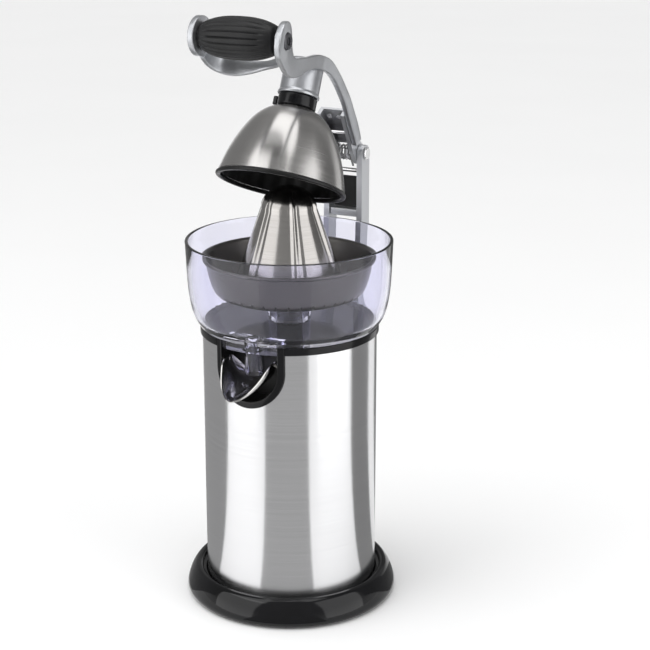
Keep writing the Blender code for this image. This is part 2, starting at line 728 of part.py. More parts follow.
def blade_x(y):
    """Inner face of the blade: straight beside the root, flaring out towards the handle."""
    if y > 0.0400:
        return RAIL_INNER_X
    if y > -0.0040:
        return RAIL_INNER_X + 0.0011 * (0.0400 - y) / 0.0440
    return RAIL_INNER_X + 0.0011 + 0.2 * (-0.0040 - y)


def lever_arm(parts, cutters):
    """Curved blade from the pivot to the handle boss with the press hub on its inner side."""
    stations = (
        ((-0.1004, 0.3095), (-0.1004, 0.3060)), ((-0.0980, 0.3153), (-0.0980, 0.3007)),
        ((-0.0935, 0.3192), (-0.0935, 0.2968)), ((-0.0870, 0.3204), (-0.0875, 0.2954)),
        ((-0.0810, 0.3170), (-0.0816, 0.2944)), ((-0.0760, 0.3110), (-0.0750, 0.2934)),
        ((-0.0690, 0.3066), (-0.0680, 0.2936)), ((-0.0610, 0.3068), (-0.0591, 0.2951)),
        ((-0.0500, 0.3106), (-0.0475, 0.2999)), ((-0.0381, 0.3147), (-0.0365, 0.3061)),
        ((-0.0270, 0.3192), (-0.0255, 0.3107)), ((-0.0170, 0.3230), (-0.0145, 0.3144)),
        ((-0.0035, 0.3264), (-0.0025, 0.3174)), ((0.0060, 0.3272), (0.0055, 0.3184)),
        ((0.0140, 0.3261), (0.0125, 0.3180)), ((0.0250, 0.3229), (0.0220, 0.3155)),
        ((0.0353, 0.3189), (0.0315, 0.3117)), ((0.0460, 0.3140), (0.0410, 0.3074)),
        ((0.0552, 0.3080), (0.0495, 0.3014)), ((0.0630, 0.3029), (0.0580, 0.2953)),
        ((0.0705, 0.2970), (0.0650, 0.2905)), ((0.0740, 0.2935), (0.0690, 0.2872)),
    )
    sections = []
    for (yu, zu), (yl, zl) in stations:
        sections.append([
            (blade_x(yu), yu, zu), (blade_x(yu) + RAIL_THICK, yu, zu),
            (blade_x(yl) + RAIL_THICK, yl, zl), (blade_x(yl), yl, zl),
        ])
    arm = lofted("lever_arm", sections, cast_metal("lever_cast"), parts, smooth=False)
    hub = turned("lever_hub", [
        (0.0, 0.3232), (0.0112, 0.3232), (HUB_R, 0.3215), (HUB_R, 0.3022), (0.0136, 0.3012), (0.0136, 0.2995),
        (0.0, 0.2995)], None, cutters, steps=28)
    hole = rod("lever_bolt_hole", 0.0034, (0.0200, GRIP_AXIS.y, GRIP_AXIS.z),
               (0.0400, GRIP_AXIS.y, GRIP_AXIS.z),
               None, cutters, 12)
    sink = rod("lever_bolt_sink", 0.0055, (0.0310, GRIP_AXIS.y, GRIP_AXIS.z),
               (0.0400, GRIP_AXIS.y, GRIP_AXIS.z),
               None, cutters)
    boolean(arm, hub, "UNION")
    boolean(arm, hole, "DIFFERENCE")
    boolean(arm, sink, "DIFFERENCE")
    for piece in (arm, hub, hole, sink):
        on_lever(piece)
    return arm


def lever_root(parts, cutters):
    """Channel between the rails: two cheeks on the pivot pin joined by a web along the top."""
    reach = 0.0075
    lug = arc((PIVOT.y, PIVOT.z), reach, -125.0, 48.0, 10)
    side = lug + [(0.0710, 0.2965), (0.0630, 0.3027), (0.0540, 0.3082), (0.0495, 0.3018), (0.0580, 0.2957),
                  (0.0660, 0.2897), (0.0735, 0.2838)]
    x = RAIL_INNER_X - GAP
    root = prism("lever_root", side, -x, x, cast_metal("root_cast"), parts, "X")
    well = arc((PIVOT.y, PIVOT.z), 0.0090, -150.0, 100.0, 10)
    well += [(0.0795, 0.2910), (0.0740, 0.2930), (0.0692, 0.2954), (0.0616, 0.3010), (0.0520, 0.3070),
             (0.0440, 0.3000), (0.0600, 0.2800), (0.0700, 0.2700)]
    channel = prism("root_channel", well, -0.0073, 0.0073, None, cutters, "X")
    bore = rod("root_bore", 0.0033, (-0.02, PIVOT.y, PIVOT.z), (0.02, PIVOT.y, PIVOT.z), None, cutters)
    boolean(root, channel, "DIFFERENCE")
    boolean(root, bore, "DIFFERENCE")
    on_lever(root)
    on_lever(channel)
    on_lever(bore)
    return root


def root_fittings(parts):
    """Cross pin and the two web screws inside the channel."""
    on_lever(rod("channel_pin", 0.0012, (-0.0070, 0.0640, 0.2945), (0.0070, 0.0640, 0.2945),
                 steel("channel_pin_steel", 0.15), parts, 10))
    for label, x in (("left", -0.0035), ("right", 0.0035)):
        start = Vector((x, 0.0566, 0.3037))
        down = Vector((0.0, -0.53, -0.85))
        on_lever(rod(f"web_screw_{label}", 0.0018, start, start + 0.0014 * down,
                     steel(f"web_screw_steel_{label}"), parts, 10))


def press_collar(parts):
    outline = [
        (0.0, 0.2992), (0.0122, 0.2992), (0.0126, 0.2986), (0.0126, 0.2922), (0.0120, DOME_TOP_Z + GAP),
        (0.0, DOME_TOP_Z + GAP),
    ]
    return on_lever(turned("press_collar", outline, black_plastic("collar_black", 0.3), parts, steps=28))


def latch_tab(parts):
    low = Vector((-0.0160, -0.0032, 0.2925))
    high = Vector((-0.0130, 0.0032, 0.2982))
    tab = block("latch_tab", low, high, black_plastic("latch_black", 0.3), parts)
    bevel(tab, 0.0005)
    set_origin(tab, (-0.0135, 0.0, 0.2928))
    return on_lever(tab)


def dome_profile(offset):
    """Outer side of the dome moved inwards by an offset, from the top edge down to the rim."""
    heights = ((0.0120, 0.0483), (0.0188, 0.0449), (0.0256, 0.0383), (0.0318, 0.0280), (0.0375, 0.0142),
               (DOME_R, 0.0))
    points = []
    for radius, height in heights:
        lean = height / 0.0560
        points.append((radius - offset * (1.0 - 0.45 * lean), DOME_RIM_Z + height - offset * lean))
    return points


def press_dome(parts):
    """Thin steel dome that pushes the fruit down."""
    wall = 0.0010
    outer = [(0.0, DOME_TOP_Z)] + dome_profile(0.0)
    inner = list(reversed(dome_profile(wall))) + [(0.0, DOME_TOP_Z - wall)]
    return on_lever(turned("press_dome", outer + inner, steel("dome_steel", 0.22), parts, steps=32))


def dome_rim(parts):
    low = DOME_RIM_Z - GAP
    outline = [(DOME_R, low), (DOME_R + 0.0011, low - 0.0006), (DOME_R + 0.0011, low - 0.0020),
               (DOME_R + 0.0003, low - 0.0026), (DOME_R - 0.0015, low - 0.0026),
               (DOME_R - 0.0022, low - 0.0018), (DOME_R - 0.0022, low)]
    return on_lever(turned("dome_rim", outline, black_plastic("rim_black", 0.4), parts, steps=32))


def dome_liner(parts):
    """Black moulding inside the dome."""
    wall = 0.0014
    start = 0.0010 + GAP
    outer = [(0.0, DOME_TOP_Z - start)] + dome_profile(start)
    inner = list(reversed(dome_profile(start + wall))) + [(0.0, DOME_TOP_Z - start - wall)]
    return on_lever(turned("dome_liner", outer + inner, black_plastic("liner_black", 0.5), parts, steps=24))


def handle_yoke(parts, cutters):
    """Round end plate and the curved strip that carries it behind the grip."""
    stations = (
        (-0.0266, -0.0810, 0.2972, 0.3090), (-0.0262, -0.0725, 0.2948, 0.3088),
        (-0.0232, -0.0640, 0.2937, 0.3078), (-0.0158, -0.0590, 0.2937, 0.3064),
        (-0.0060, -0.0572, 0.2960, 0.3052), (0.0040, -0.0578, 0.2990, 0.3046),
        (0.0140, -0.0622, 0.3000, 0.3056), (0.0229, -0.0695, 0.3000, 0.3066),
    )
    half = 0.0015
    sections = []
    for i, (x, y, low, high) in enumerate(stations):
        ahead = stations[min(i + 1, len(stations) - 1)]
        behind = stations[max(i - 1, 0)]
        along = Vector((ahead[0] - behind[0], ahead[1] - behind[1])).normalized()
        out = Vector((-along.y, along.x)) * half
        sections.append([
            (x + out.x, y + out.y, low), (x + out.x, y + out.y, high),
            (x - out.x, y - out.y, high), (x - out.x, y - out.y, low),
        ])
    yoke = lofted("handle_yoke", sections, cast_metal("yoke_cast"), parts, smooth=False)
    centre = GRIP_AXIS
    plate = rod("yoke_plate", 0.0122, (-0.0287, centre.y, centre.z), (-0.0249, centre.y, centre.z), None,
                cutters, 24)
    hole = rod("yoke_hole", 0.0034, (-0.0400, centre.y, centre.z), (-0.0200, centre.y, centre.z), None,
               cutters, 12)
    boolean(yoke, plate, "UNION")
    boolean(yoke, hole, "DIFFERENCE")
    on_lever(yoke)
    on_lever(plate)
    on_lever(hole)
    return yoke


def grip(parts):
    """Barrel grip lying across the end of the lever, bored for its bolt."""
    half = GRIP_LENGTH / 2
    outline = [(k * GRIP_R, t * half) for t, k in (
        (1.0, 0.60), (0.85, 0.74), (0.55, 0.91), (0.2, 0.99), (-0.2, 0.99), (-0.55, 0.91), (-0.85, 0.74),
        (-1.0, 0.60))]
    outline += [(0.0034, -half), (0.0034, half)]
    barrel = turned("grip", outline, black_plastic("grip_rubber", 0.55), parts, steps=20)
    barrel.rotation_euler = (0.0, math.radians(90.0), 0.0)
    barrel.location = GRIP_AXIS + Vector((0.0006, 0.0, 0.0))
    return on_lever(barrel)


def grip_bolt(parts):
    outline = [(0.0, 0.0336), (0.0046, 0.0336), (0.0051, 0.0331), (0.0051, 0.0313), (0.0030, 0.0313),
               (0.0030, -0.0306), (0.0, -0.0306)]
    bolt = turned("grip_bolt", outline, steel("grip_bolt_steel", 0.25), parts, steps=16)
    bolt.rotation_euler = (0.0, math.radians(90.0), 0.0)
    bolt.location = GRIP_AXIS
    return on_lever(bolt)


def grip_nut(parts, cutters):
    centre = GRIP_AXIS
    nut = rod("grip_nut", 0.0056, (-0.0317, centre.y, centre.z), (-0.0290, centre.y, centre.z),
              steel("grip_nut_steel", 0.25), parts, 6)
    bore = rod("nut_bore", 0.0034, (-0.0400, centre.y, centre.z), (-0.0270, centre.y, centre.z), None,
               cutters, 12)
    boolean(nut, bore, "DIFFERENCE")
    on_lever(bore)
    return on_lever(nut)


def build():
    clear_scene()
    parts, cutters = make_collections()
    base_skirt(parts)
    bottom_cover(parts, cutters)
    feet_and_screws(parts)
    cord_gland(parts)
    steel_shell(parts, cutters)
    spout_trim(parts)
    top_trim(parts, cutters)
    spout_housing(parts, cutters)
    drive_deck(parts, cutters)
    motor_chassis(parts, cutters)
    motor_can(parts)
    gear_train(parts, cutters)
    thrust_plate(parts)
    drive_spindle(parts)
    gear_cap(parts, cutters)
    press_switch(parts, cutters)
    juice_bowl(parts, cutters)
    strainer(parts, cutters)
    reamer_cone(parts)
    reamer_core(parts)
    spout_scoop(parts, cutters)
    arm_bracket(parts)
    rail("rail_left", -1.0, parts, cutters)
    rail("rail_right", 1.0, parts, cutters)
    rail_screws(parts)
    post_ties(parts)
    lever_axis(parts)
    pivot_pin(parts)
    pivot_clip(parts)
    torsion_spring(parts)
    lever_arm(parts, cutters)
    lever_root(parts, cutters)
    root_fittings(parts)
    press_collar(parts)
    latch_tab(parts)
    press_dome(parts)
    dome_rim(parts)
    dome_liner(parts)
    handle_yoke(parts, cutters)
    grip(parts)
    grip_bolt(parts)
    grip_nut(parts, cutters)


build()
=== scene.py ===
"""Looks, light and camera for the citrus press juicer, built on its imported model.

Metres, +Z up, the pouring lip faces -Y and the lever post stands at +Y. Pieces on the lever are drawn
with the dome pressed straight down and then turned up by LEVER_REST about the pivot pin.
Outlines of turned pieces are lists of (radius, height).
"""

import math

import bmesh
import bpy
from mathutils import Matrix, Vector


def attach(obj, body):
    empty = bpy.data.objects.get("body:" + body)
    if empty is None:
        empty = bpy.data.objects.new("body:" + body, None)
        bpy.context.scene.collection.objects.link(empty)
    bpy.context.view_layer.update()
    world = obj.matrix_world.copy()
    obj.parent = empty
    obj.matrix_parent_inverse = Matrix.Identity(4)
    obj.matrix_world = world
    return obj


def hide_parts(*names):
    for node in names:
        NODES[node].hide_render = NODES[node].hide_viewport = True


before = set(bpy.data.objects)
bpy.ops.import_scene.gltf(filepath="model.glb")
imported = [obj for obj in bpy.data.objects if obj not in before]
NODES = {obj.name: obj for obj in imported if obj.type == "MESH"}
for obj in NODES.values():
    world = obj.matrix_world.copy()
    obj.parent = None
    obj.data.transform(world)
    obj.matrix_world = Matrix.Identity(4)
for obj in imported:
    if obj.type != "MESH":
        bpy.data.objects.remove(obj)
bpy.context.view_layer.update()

# Drum and base
HOUSING_R = 0.0575
STEEL_WALL = 0.0010
SKIRT_R = 0.0712
SHELF_Z = 0.0099
BAND_BOTTOM = 0.1824
BAND_TOP = 0.1872
BAND_R = 0.0589
MOUTH_R = 0.0200
MOUTH_CENTRE_Z = 0.1700
TRIM_WIDTH = 0.0045
GLAND_Z = 0.0260

# Bowl, strainer and reamer
BOWL_RIM_R = 0.0678
BOWL_RIM_Z = 0.2438
NOZZLE_Y = -0.0480
REAMER_BOTTOM = 0.2140
REAMER_TIP = 0.2790
RIB_COUNT = 6
RIB_PHASE = math.radians(6.0)

# Lever
PIVOT = Vector((0.0, 0.0850, 0.2860))
LEVER_REST = math.radians(25.0)
RAIL_INNER_X = 0.0105
RAIL_THICK = 0.0040
HUB_R = 0.0128
DOME_R = 0.0412
DOME_RIM_Z = 0.2428
DOME_TOP_Z = 0.2913
GRIP_AXIS = Vector((0.0, -0.0875, 0.3090))
GRIP_LENGTH = 0.0500
GRIP_R = 0.0131
GRIP_GROOVES = 20
BOLT_HOLE_R = 0.0034

FLOOR_Z = -0.0020
LEVER_TURN = (Matrix.Translation(PIVOT) @ Matrix.Rotation(-LEVER_REST, 4, "X")
              @ Matrix.Translation(-PIVOT))
UNTURNED_SHIFT = PIVOT - Matrix.Rotation(LEVER_REST, 3, "X") @ PIVOT
SIDEWAYS = Matrix.Rotation(math.radians(90.0), 4, "Y")

# Camera, cards and lamps. Degrees count round the object from the camera, positive to its right
VIEW_FROM = Vector((0.48094, -0.90451, 0.50081))
VIEW_TILT = math.radians(72.857)
VIEW_TURN = math.radians(26.696)
LENS = 89.87
FLAGS = (("front_flag", -29.5, 21.0, 0.42), ("right_flag", 78.0, 114.0, 0.24),
         ("edge_flag", 136.0, 172.0, 0.20), ("left_flag", -150.0, -82.0, 0.32))
FLAG_PROFILE = ((0.078, FLOOR_Z + 0.001), (0.260, 0.050), (0.260, 0.950))
SOFTBOXES = (("left_box", -64.0), ("right_box", 58.0))
SOFTBOX_DISTANCE = 1.3
SOFTBOX_HEIGHT = 0.60
SOFTBOX_POWER = 7.0
TOWARDS_CAMERA = math.atan2(VIEW_FROM.y, VIEW_FROM.x)


# Node helpers ----------------------------------------------------------------------------------------

def new_material(name):
    """Material with an empty Principled shader and object coordinates ready to use."""
    mat = bpy.data.materials.new(name)
    mat.use_nodes = True
    tree = mat.node_tree
    shader = tree.nodes["Principled BSDF"]
    coords = tree.nodes.new("ShaderNodeTexCoord").outputs["Object"]
    return mat, tree, shader, coords


def noise(tree, vector, scale, detail=3.0, stretch=(1.0, 1.0, 1.0)):
    """Noise value on a vector that is stretched first."""
    mapping = tree.nodes.new("ShaderNodeMapping")
    mapping.inputs["Scale"].default_value = stretch
    tree.links.new(vector, mapping.inputs["Vector"])
    texture = tree.nodes.new("ShaderNodeTexNoise")
    texture.inputs["Scale"].default_value = scale
    texture.inputs["Detail"].default_value = detail
    tree.links.new(mapping.outputs["Vector"], texture.inputs["Vector"])
    return texture.outputs["Fac"]


def spread(tree, value, low, high):
    """Map the middle of a noise value to a range."""
    ramp = tree.nodes.new("ShaderNodeMapRange")
    ramp.inputs["From Min"].default_value = 0.3
    ramp.inputs["From Max"].default_value = 0.7
    ramp.inputs["To Min"].default_value = low
    ramp.inputs["To Max"].default_value = high
    tree.links.new(value, ramp.inputs["Value"])
    return ramp.outputs["Result"]


def two_tone(tree, value, first, second):
    """Colour drifting between two shades."""
    ramp = tree.nodes.new("ShaderNodeValToRGB")
    ramp.color_ramp.elements[0].position = 0.35
    ramp.color_ramp.elements[0].color = (*first, 1.0)
    ramp.color_ramp.elements[1].position = 0.65
    ramp.color_ramp.elements[1].color = (*second, 1.0)
    tree.links.new(value, ramp.inputs["Fac"])
    return ramp.outputs["Color"]


def relief(tree, shader, height, strength, distance):
    bump = tree.nodes.new("ShaderNodeBump")
    bump.inputs["Strength"].default_value = strength
    bump.inputs["Distance"].default_value = distance
    tree.links.new(height, bump.inputs["Height"])
    tree.links.new(bump.outputs["Normal"], shader.inputs["Normal"])


def unturned(tree, coords):
    """Coordinates with the lever pressed straight down."""
    mapping = tree.nodes.new("ShaderNodeMapping")
    mapping.inputs["Rotation"].default_value = (LEVER_REST, 0.0, 0.0)
    mapping.inputs["Location"].default_value = UNTURNED_SHIFT
    tree.links.new(coords, mapping.inputs["Vector"])
    return mapping.outputs["Vector"]


def hoop_tangent(tree, coords, tilt):
    """Direction that runs round the vertical axis, tilted back with the lever and taken to world space."""
    hoop = tree.nodes.new("ShaderNodeVectorMath")
    hoop.operation = "CROSS_PRODUCT"
    hoop.inputs[0].default_value = (0.0, 0.0, 1.0)
    tree.links.new(coords, hoop.inputs[1])
    lean = tree.nodes.new("ShaderNodeVectorRotate")
    lean.rotation_type = "X_AXIS"
    lean.inputs["Angle"].default_value = -tilt
    tree.links.new(hoop.outputs["Vector"], lean.inputs["Vector"])
    world = tree.nodes.new("ShaderNodeVectorTransform")
    world.vector_type = "VECTOR"
    world.convert_from = "OBJECT"
    world.convert_to = "WORLD"
    tree.links.new(lean.outputs["Vector"], world.inputs["Vector"])
    return world.outputs["Vector"]


def round_coordinates(tree, coords, fine, slow):
    """Radius and height at a fine scale, so that grain runs round the vertical axis."""
    split = tree.nodes.new("ShaderNodeSeparateXYZ")
    tree.links.new(coords, split.inputs[0])
    flat = tree.nodes.new("ShaderNodeCombineXYZ")
    tree.links.new(split.outputs["X"], flat.inputs["X"])
    tree.links.new(split.outputs["Y"], flat.inputs["Y"])
    length = tree.nodes.new("ShaderNodeVectorMath")
    length.operation = "LENGTH"
    tree.links.new(flat.outputs[0], length.inputs[0])
    joined = tree.nodes.new("ShaderNodeCombineXYZ")
    for source, target, factor in ((length.outputs["Value"], "X", fine), (split.outputs["Z"], "Y", fine),
                                   (split.outputs["X"], "Z", slow)):
        scaled = tree.nodes.new("ShaderNodeMath")
        scaled.operation = "MULTIPLY"
        scaled.inputs[1].default_value = factor
        tree.links.new(source, scaled.inputs[0])
        tree.links.new(scaled.outputs[0], joined.inputs[target])
    return joined.outputs[0]


# Materials -------------------------------------------------------------------------------------------

def brushed_round(name, light, dark, roughness, anisotropy=0.85, streaks=0.03, grain=2600.0, bump=0.04,
                  on_lever=False):
    """Sheet steel brushed round the piece's own vertical axis. Streaks is how far its gloss varies."""
    mat, tree, shader, coords = new_material(name)
    if on_lever:
        coords = unturned(tree, coords)
    shader.inputs["Metallic"].default_value = 1.0
    shader.inputs["Anisotropic"].default_value = anisotropy
    shader.inputs["Anisotropic Rotation"].default_value = 0.25
    tree.links.new(hoop_tangent(tree, coords, LEVER_REST if on_lever else 0.0), shader.inputs["Tangent"])
    lines = noise(tree, round_coordinates(tree, coords, grain, 7.0), 1.0, 3.0)
    smudges = noise(tree, coords, 22.0, 3.0)
    tree.links.new(two_tone(tree, lines, dark, light), shader.inputs["Base Color"])
    rough = tree.nodes.new("ShaderNodeMath")
    rough.operation = "ADD"
    tree.links.new(spread(tree, lines, roughness - streaks, roughness + streaks), rough.inputs[0])
    tree.links.new(spread(tree, smudges, -0.02, 0.03), rough.inputs[1])
    tree.links.new(rough.outputs[0], shader.inputs["Roughness"])
    relief(tree, shader, lines, bump, 0.00003)
    return mat


def polished(name, light, dark, roughness):
    """Polished steel with faint haze and hairlines."""
    mat, tree, shader, coords = new_material(name)
    shader.inputs["Metallic"].default_value = 1.0
    haze = noise(tree, coords, 45.0, 4.0)
    hairs = noise(tree, coords, 900.0, 3.0, (1.0, 0.08, 1.0))
    tree.links.new(two_tone(tree, haze, dark, light), shader.inputs["Base Color"])
    tree.links.new(spread(tree, haze, roughness - 0.03, roughness + 0.05), shader.inputs["Roughness"])
    relief(tree, shader, hairs, 0.06, 0.00005)
    return mat


def cast_metal(name, light=(0.45, 0.46, 0.48), dark=(0.37, 0.38, 0.40), roughness=0.34):
    """Satin die-cast aluminium: fine tumbled texture, cloudy tone and slightly brighter worn edges."""
    mat, tree, shader, coords = new_material(name)
    shader.inputs["Metallic"].default_value = 0.92
    cloud = noise(tree, coords, 60.0, 4.0)
    grit = noise(tree, coords, 1800.0, 3.0)
    wear = tree.nodes.new("ShaderNodeNewGeometry").outputs["Pointiness"]
    edge = tree.nodes.new("ShaderNodeMapRange")
    edge.inputs["From Min"].default_value = 0.50
    edge.inputs["From Max"].default_value = 0.58
    tree.links.new(wear, edge.inputs["Value"])
    mix = tree.nodes.new("ShaderNodeMix")
    mix.data_type = "RGBA"
    tree.links.new(edge.outputs["Result"], mix.inputs["Factor"])
    tree.links.new(two_tone(tree, cloud, dark, light), mix.inputs["A"])
    mix.inputs["B"].default_value = (0.60, 0.61, 0.63, 1.0)
    tree.links.new(mix.outputs["Result"], shader.inputs["Base Color"])
    tree.links.new(spread(tree, grit, roughness - 0.06, roughness + 0.08), shader.inputs["Roughness"])
    relief(tree, shader, grit, 0.10, 0.00006)
    return mat


def gloss_black(name, roughness=0.08):
    """Moulded glossy black plastic with a soft orange-peel and dust-fine haze."""
    mat, tree, shader, coords = new_material(name)
    peel = noise(tree, coords, 160.0, 2.0)
    haze = noise(tree, coords, 30.0, 4.0)
    tree.links.new(two_tone(tree, haze, (0.0025, 0.0025, 0.003), (0.005, 0.005, 0.006)),
                   shader.inputs["Base Color"])
    tree.links.new(spread(tree, haze, roughness - 0.02, roughness + 0.04), shader.inputs["Roughness"])
    shader.inputs["Specular IOR Level"].default_value = 0.32
    relief(tree, shader, peel, 0.05, 0.00010)
    return mat


def matte_black(name, roughness=0.5, tone=0.007, texture=1400.0):
    """Black plastic with a fine spark-eroded texture."""
    mat, tree, shader, coords = new_material(name)
    grain = noise(tree, coords, texture, 2.0)
    haze = noise(tree, coords, 40.0, 3.0)
    tree.links.new(two_tone(tree, haze, (tone * 0.75,) * 3, (tone * 1.3,) * 3), shader.inputs["Base Color"])
    tree.links.new(spread(tree, grain, roughness - 0.07, roughness + 0.07), shader.inputs["Roughness"])
    shader.inputs["Specular IOR Level"].default_value = 0.3
    relief(tree, shader, grain, 0.16, 0.00008)
    return mat


def rubber(name):
    """Soft-touch rubber, dull with a slight sheen."""
    mat, tree, shader, coords = new_material(name)
    grain = noise(tree, coords, 1100.0, 4.0)
    rubbed = noise(tree, coords, 70.0, 3.0)
    tree.links.new(two_tone(tree, rubbed, (0.004, 0.004, 0.0045), (0.009, 0.009, 0.010)),
                   shader.inputs["Base Color"])
    tree.links.new(spread(tree, grain, 0.38, 0.52), shader.inputs["Roughness"])
    shader.inputs["Specular IOR Level"].default_value = 0.35
    shader.inputs["Sheen Weight"].default_value = 0.03
    shader.inputs["Sheen Roughness"].default_value = 0.5
    relief(tree, shader, grain, 0.14, 0.00008)
    return mat


def clear_plastic(name):
    """Clear moulded plastic with a faint lavender tint and very light flow marks."""
    mat, tree, shader, coords = new_material(name)
    flow = noise(tree, coords, 35.0, 2.0, (1.0, 1.0, 0.4))
    tree.links.new(two_tone(tree, flow, (0.865, 0.862, 0.975), (0.895, 0.892, 0.985)),
                   shader.inputs["Base Color"])
    tree.links.new(spread(tree, flow, 0.015, 0.035), shader.inputs["Roughness"])
    shader.inputs["Transmission Weight"].default_value = 1.0
    shader.inputs["IOR"].default_value = 1.40
    relief(tree, shader, flow, 0.02, 0.00010)
    return mat


def nylon(name, light=(0.83, 0.81, 0.74), dark=(0.76, 0.74, 0.67)):
    """Natural moulded nylon for the gears."""
    mat, tree, shader, coords = new_material(name)
    cloud = noise(tree, coords, 90.0, 3.0)
    tree.links.new(two_tone(tree, cloud, dark, light), shader.inputs["Base Color"])
    tree.links.new(spread(tree, cloud, 0.40, 0.52), shader.inputs["Roughness"])
    shader.inputs["Subsurface Weight"].default_value = 0.1
    shader.inputs["Subsurface Scale"].default_value = 0.001
    return mat


# Mesh helpers ----------------------------------------------------------------------------------------

def finished(name, bm, mat, body, stands_for, sharp=38.0):
    """Close off a new piece: normals, shading, material, what it replaces and what it rides on."""
    bmesh.ops.recalc_face_normals(bm, faces=bm.faces)
    if body == "lever":
        bmesh.ops.transform(bm, matrix=LEVER_TURN, verts=bm.verts)
    mesh = bpy.data.meshes.new(name)
    bm.to_mesh(mesh)
    bm.free()
    mesh.materials.append(mat)
    for face in mesh.polygons:
        face.use_smooth = True
    mesh.set_sharp_from_angle(angle=math.radians(sharp))
    obj = bpy.data.objects.new(name, mesh)
    bpy.context.scene.collection.objects.link(obj)
    if stands_for:
        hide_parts(*stands_for)
    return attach(obj, body)


def rounded(outline, radius, closed, steps=4):
    """Round the corners of an outline with short curves."""
    count = len(outline)
    points = []
    for i in range(count):
        if not closed and i in (0, count - 1):
            points.append(outline[i])
            continue
        before = Vector(outline[i - 1])
        here = Vector(outline[i])
        after = Vector(outline[(i + 1) % count])
        reach = min(radius, 0.45 * (before - here).length, 0.45 * (after - here).length)
        start = here + (before - here).normalized() * reach
        end = here + (after - here).normalized() * reach
        for k in range(steps + 1):
            t = k / steps
            points.append(tuple((1 - t) ** 2 * start + 2 * t * (1 - t) * here + t * t * end))
    return points


def spin(bm, outline, steps=128, wave=None):
    """Turn an outline of (radius, height) about the Z axis. Points at radius 0 become poles."""
    closed = outline[0][0] > 1e-7
    rings = []
    for radius, height in outline:
        if radius < 1e-7:
            rings.append([bm.verts.new((0.0, 0.0, height))])
            continue
        ring = []
        for i in range(steps):
            angle = 2.0 * math.pi * i / steps
            r = radius if wave is None else wave(radius, height, angle)
            ring.append(bm.verts.new((r * math.cos(angle), r * math.sin(angle), height)))
        rings.append(ring)
    pairs = list(zip(rings, rings[1:]))
    if closed:
        pairs.append((rings[-1], rings[0]))
    for first, second in pairs:
        for i in range(steps):
            j = (i + 1) % steps
            quad = [first[i % len(first)], first[j % len(first)], second[j % len(second)],
                    second[i % len(second)]]
            corners = list(dict.fromkeys(quad))
            if len(corners) > 2:
                bm.faces.new(corners)


def turned(name, outline, mat, body, stands_for, radius=0.0004, steps=128, sharp=38.0):
    closed = outline[0][0] > 1e-7
    bm = bmesh.new()
    spin(bm, rounded(outline, radius, closed), steps)
    return finished(name, bm, mat, body, stands_for, sharp)


def skin(bm, sections):
    """Join equal point loops with quads and cap both ends."""
    loops = [[bm.verts.new(point) for point in section] for section in sections]
    size = len(loops[0])
    for first, second in zip(loops, loops[1:]):
        for i in range(size):
            j = (i + 1) % size
            bm.faces.new((first[i], first[j], second[j], second[i]))
    bm.faces.new(list(reversed(loops[0])))
    bm.faces.new(loops[-1])


def smooth_path(points, per_span=6):
    """Catmull-Rom curve through rows of numbers."""
    result = []
    count = len(points)
    for i in range(count - 1):
        p0 = points[max(i - 1, 0)]
        p1 = points[i]
        p2 = points[i + 1]
        p3 = points[min(i + 2, count - 1)]
        for k in range(per_span):
            t = k / per_span
            row = []
            for a, b, c, d in zip(p0, p1, p2, p3):
                row.append(0.5 * (2 * b + (c - a) * t + (2 * a - 5 * b + 4 * c - d) * t * t
                                  + (3 * b - a - 3 * c + d) * t ** 3))
            result.append(tuple(row))
    result.append(tuple(points[-1]))
    return result


def rounded_box_section(low, high, radius, steps=3):
    """Closed loop of a rectangle with round corners, as (u, v) pairs."""
    corners = ((high[0] - radius, high[1] - radius, 0.0), (low[0] + radius, high[1] - radius, 90.0),
               (low[0] + radius, low[1] + radius, 180.0), (high[0] - radius, low[1] + radius, 270.0))
    loop = []
    for cu, cv, start in corners:
        for k in range(steps + 1):
            angle = math.radians(start + 90.0 * k / steps)
            loop.append((cu + radius * math.cos(angle), cv + radius * math.sin(angle)))
    return loop


def cylinder(bm, radius, start, end, sides=48, edge=0.0004):
    """Round bar with rounded ends between two points."""
    start = Vector(start)
    end = Vector(end)
    length = (end - start).length
    turn = Matrix.Translation(start) @ (end - start).to_track_quat("Z", "Y").to_matrix().to_4x4()
    made = bmesh.new()
    outline = [(0.0, length), (radius, length), (radius, 0.0), (0.0, 0.0)]
    spin(made, rounded(outline, edge, False), sides)
    mesh = bpy.data.meshes.new("bar")
    made.to_mesh(mesh)
    made.free()
    mesh.transform(turn)
    bm.from_mesh(mesh)
    bpy.data.meshes.remove(mesh)


def cut(obj, cutter_bm, name, operation="DIFFERENCE", on_lever=False):
    """Apply one exact Boolean to a piece and leave no modifier behind."""
    bmesh.ops.recalc_face_normals(cutter_bm, faces=cutter_bm.faces)
    if on_lever:
        bmesh.ops.transform(cutter_bm, matrix=LEVER_TURN, verts=cutter_bm.verts)
    mesh = bpy.data.meshes.new(name)
    cutter_bm.to_mesh(mesh)
    cutter_bm.free()
    tool = bpy.data.objects.new(name, mesh)
    bpy.context.scene.collection.objects.link(tool)
    modifier = obj.modifiers.new(name, "BOOLEAN")
    modifier.operation = operation
    modifier.solver = "EXACT"
    modifier.object = tool
    depsgraph = bpy.context.evaluated_depsgraph_get()
    result = bpy.data.meshes.new_from_object(obj.evaluated_get(depsgraph))
    obj.modifiers.remove(modifier)
    obj.data = result
    bpy.data.objects.remove(tool, do_unlink=True)
    for face in result.polygons:
        face.use_smooth = True
    result.set_sharp_from_angle(angle=math.radians(35.0))
    return obj


def cut_block(low, high):
    low = Vector(low)
    high = Vector(high)
    bm = bmesh.new()
    scale = Matrix.Diagonal((*(high - low), 1.0))
    bmesh.ops.create_cube(bm, size=1.0, matrix=Matrix.Translation((low + high) / 2) @ scale)
    return bm


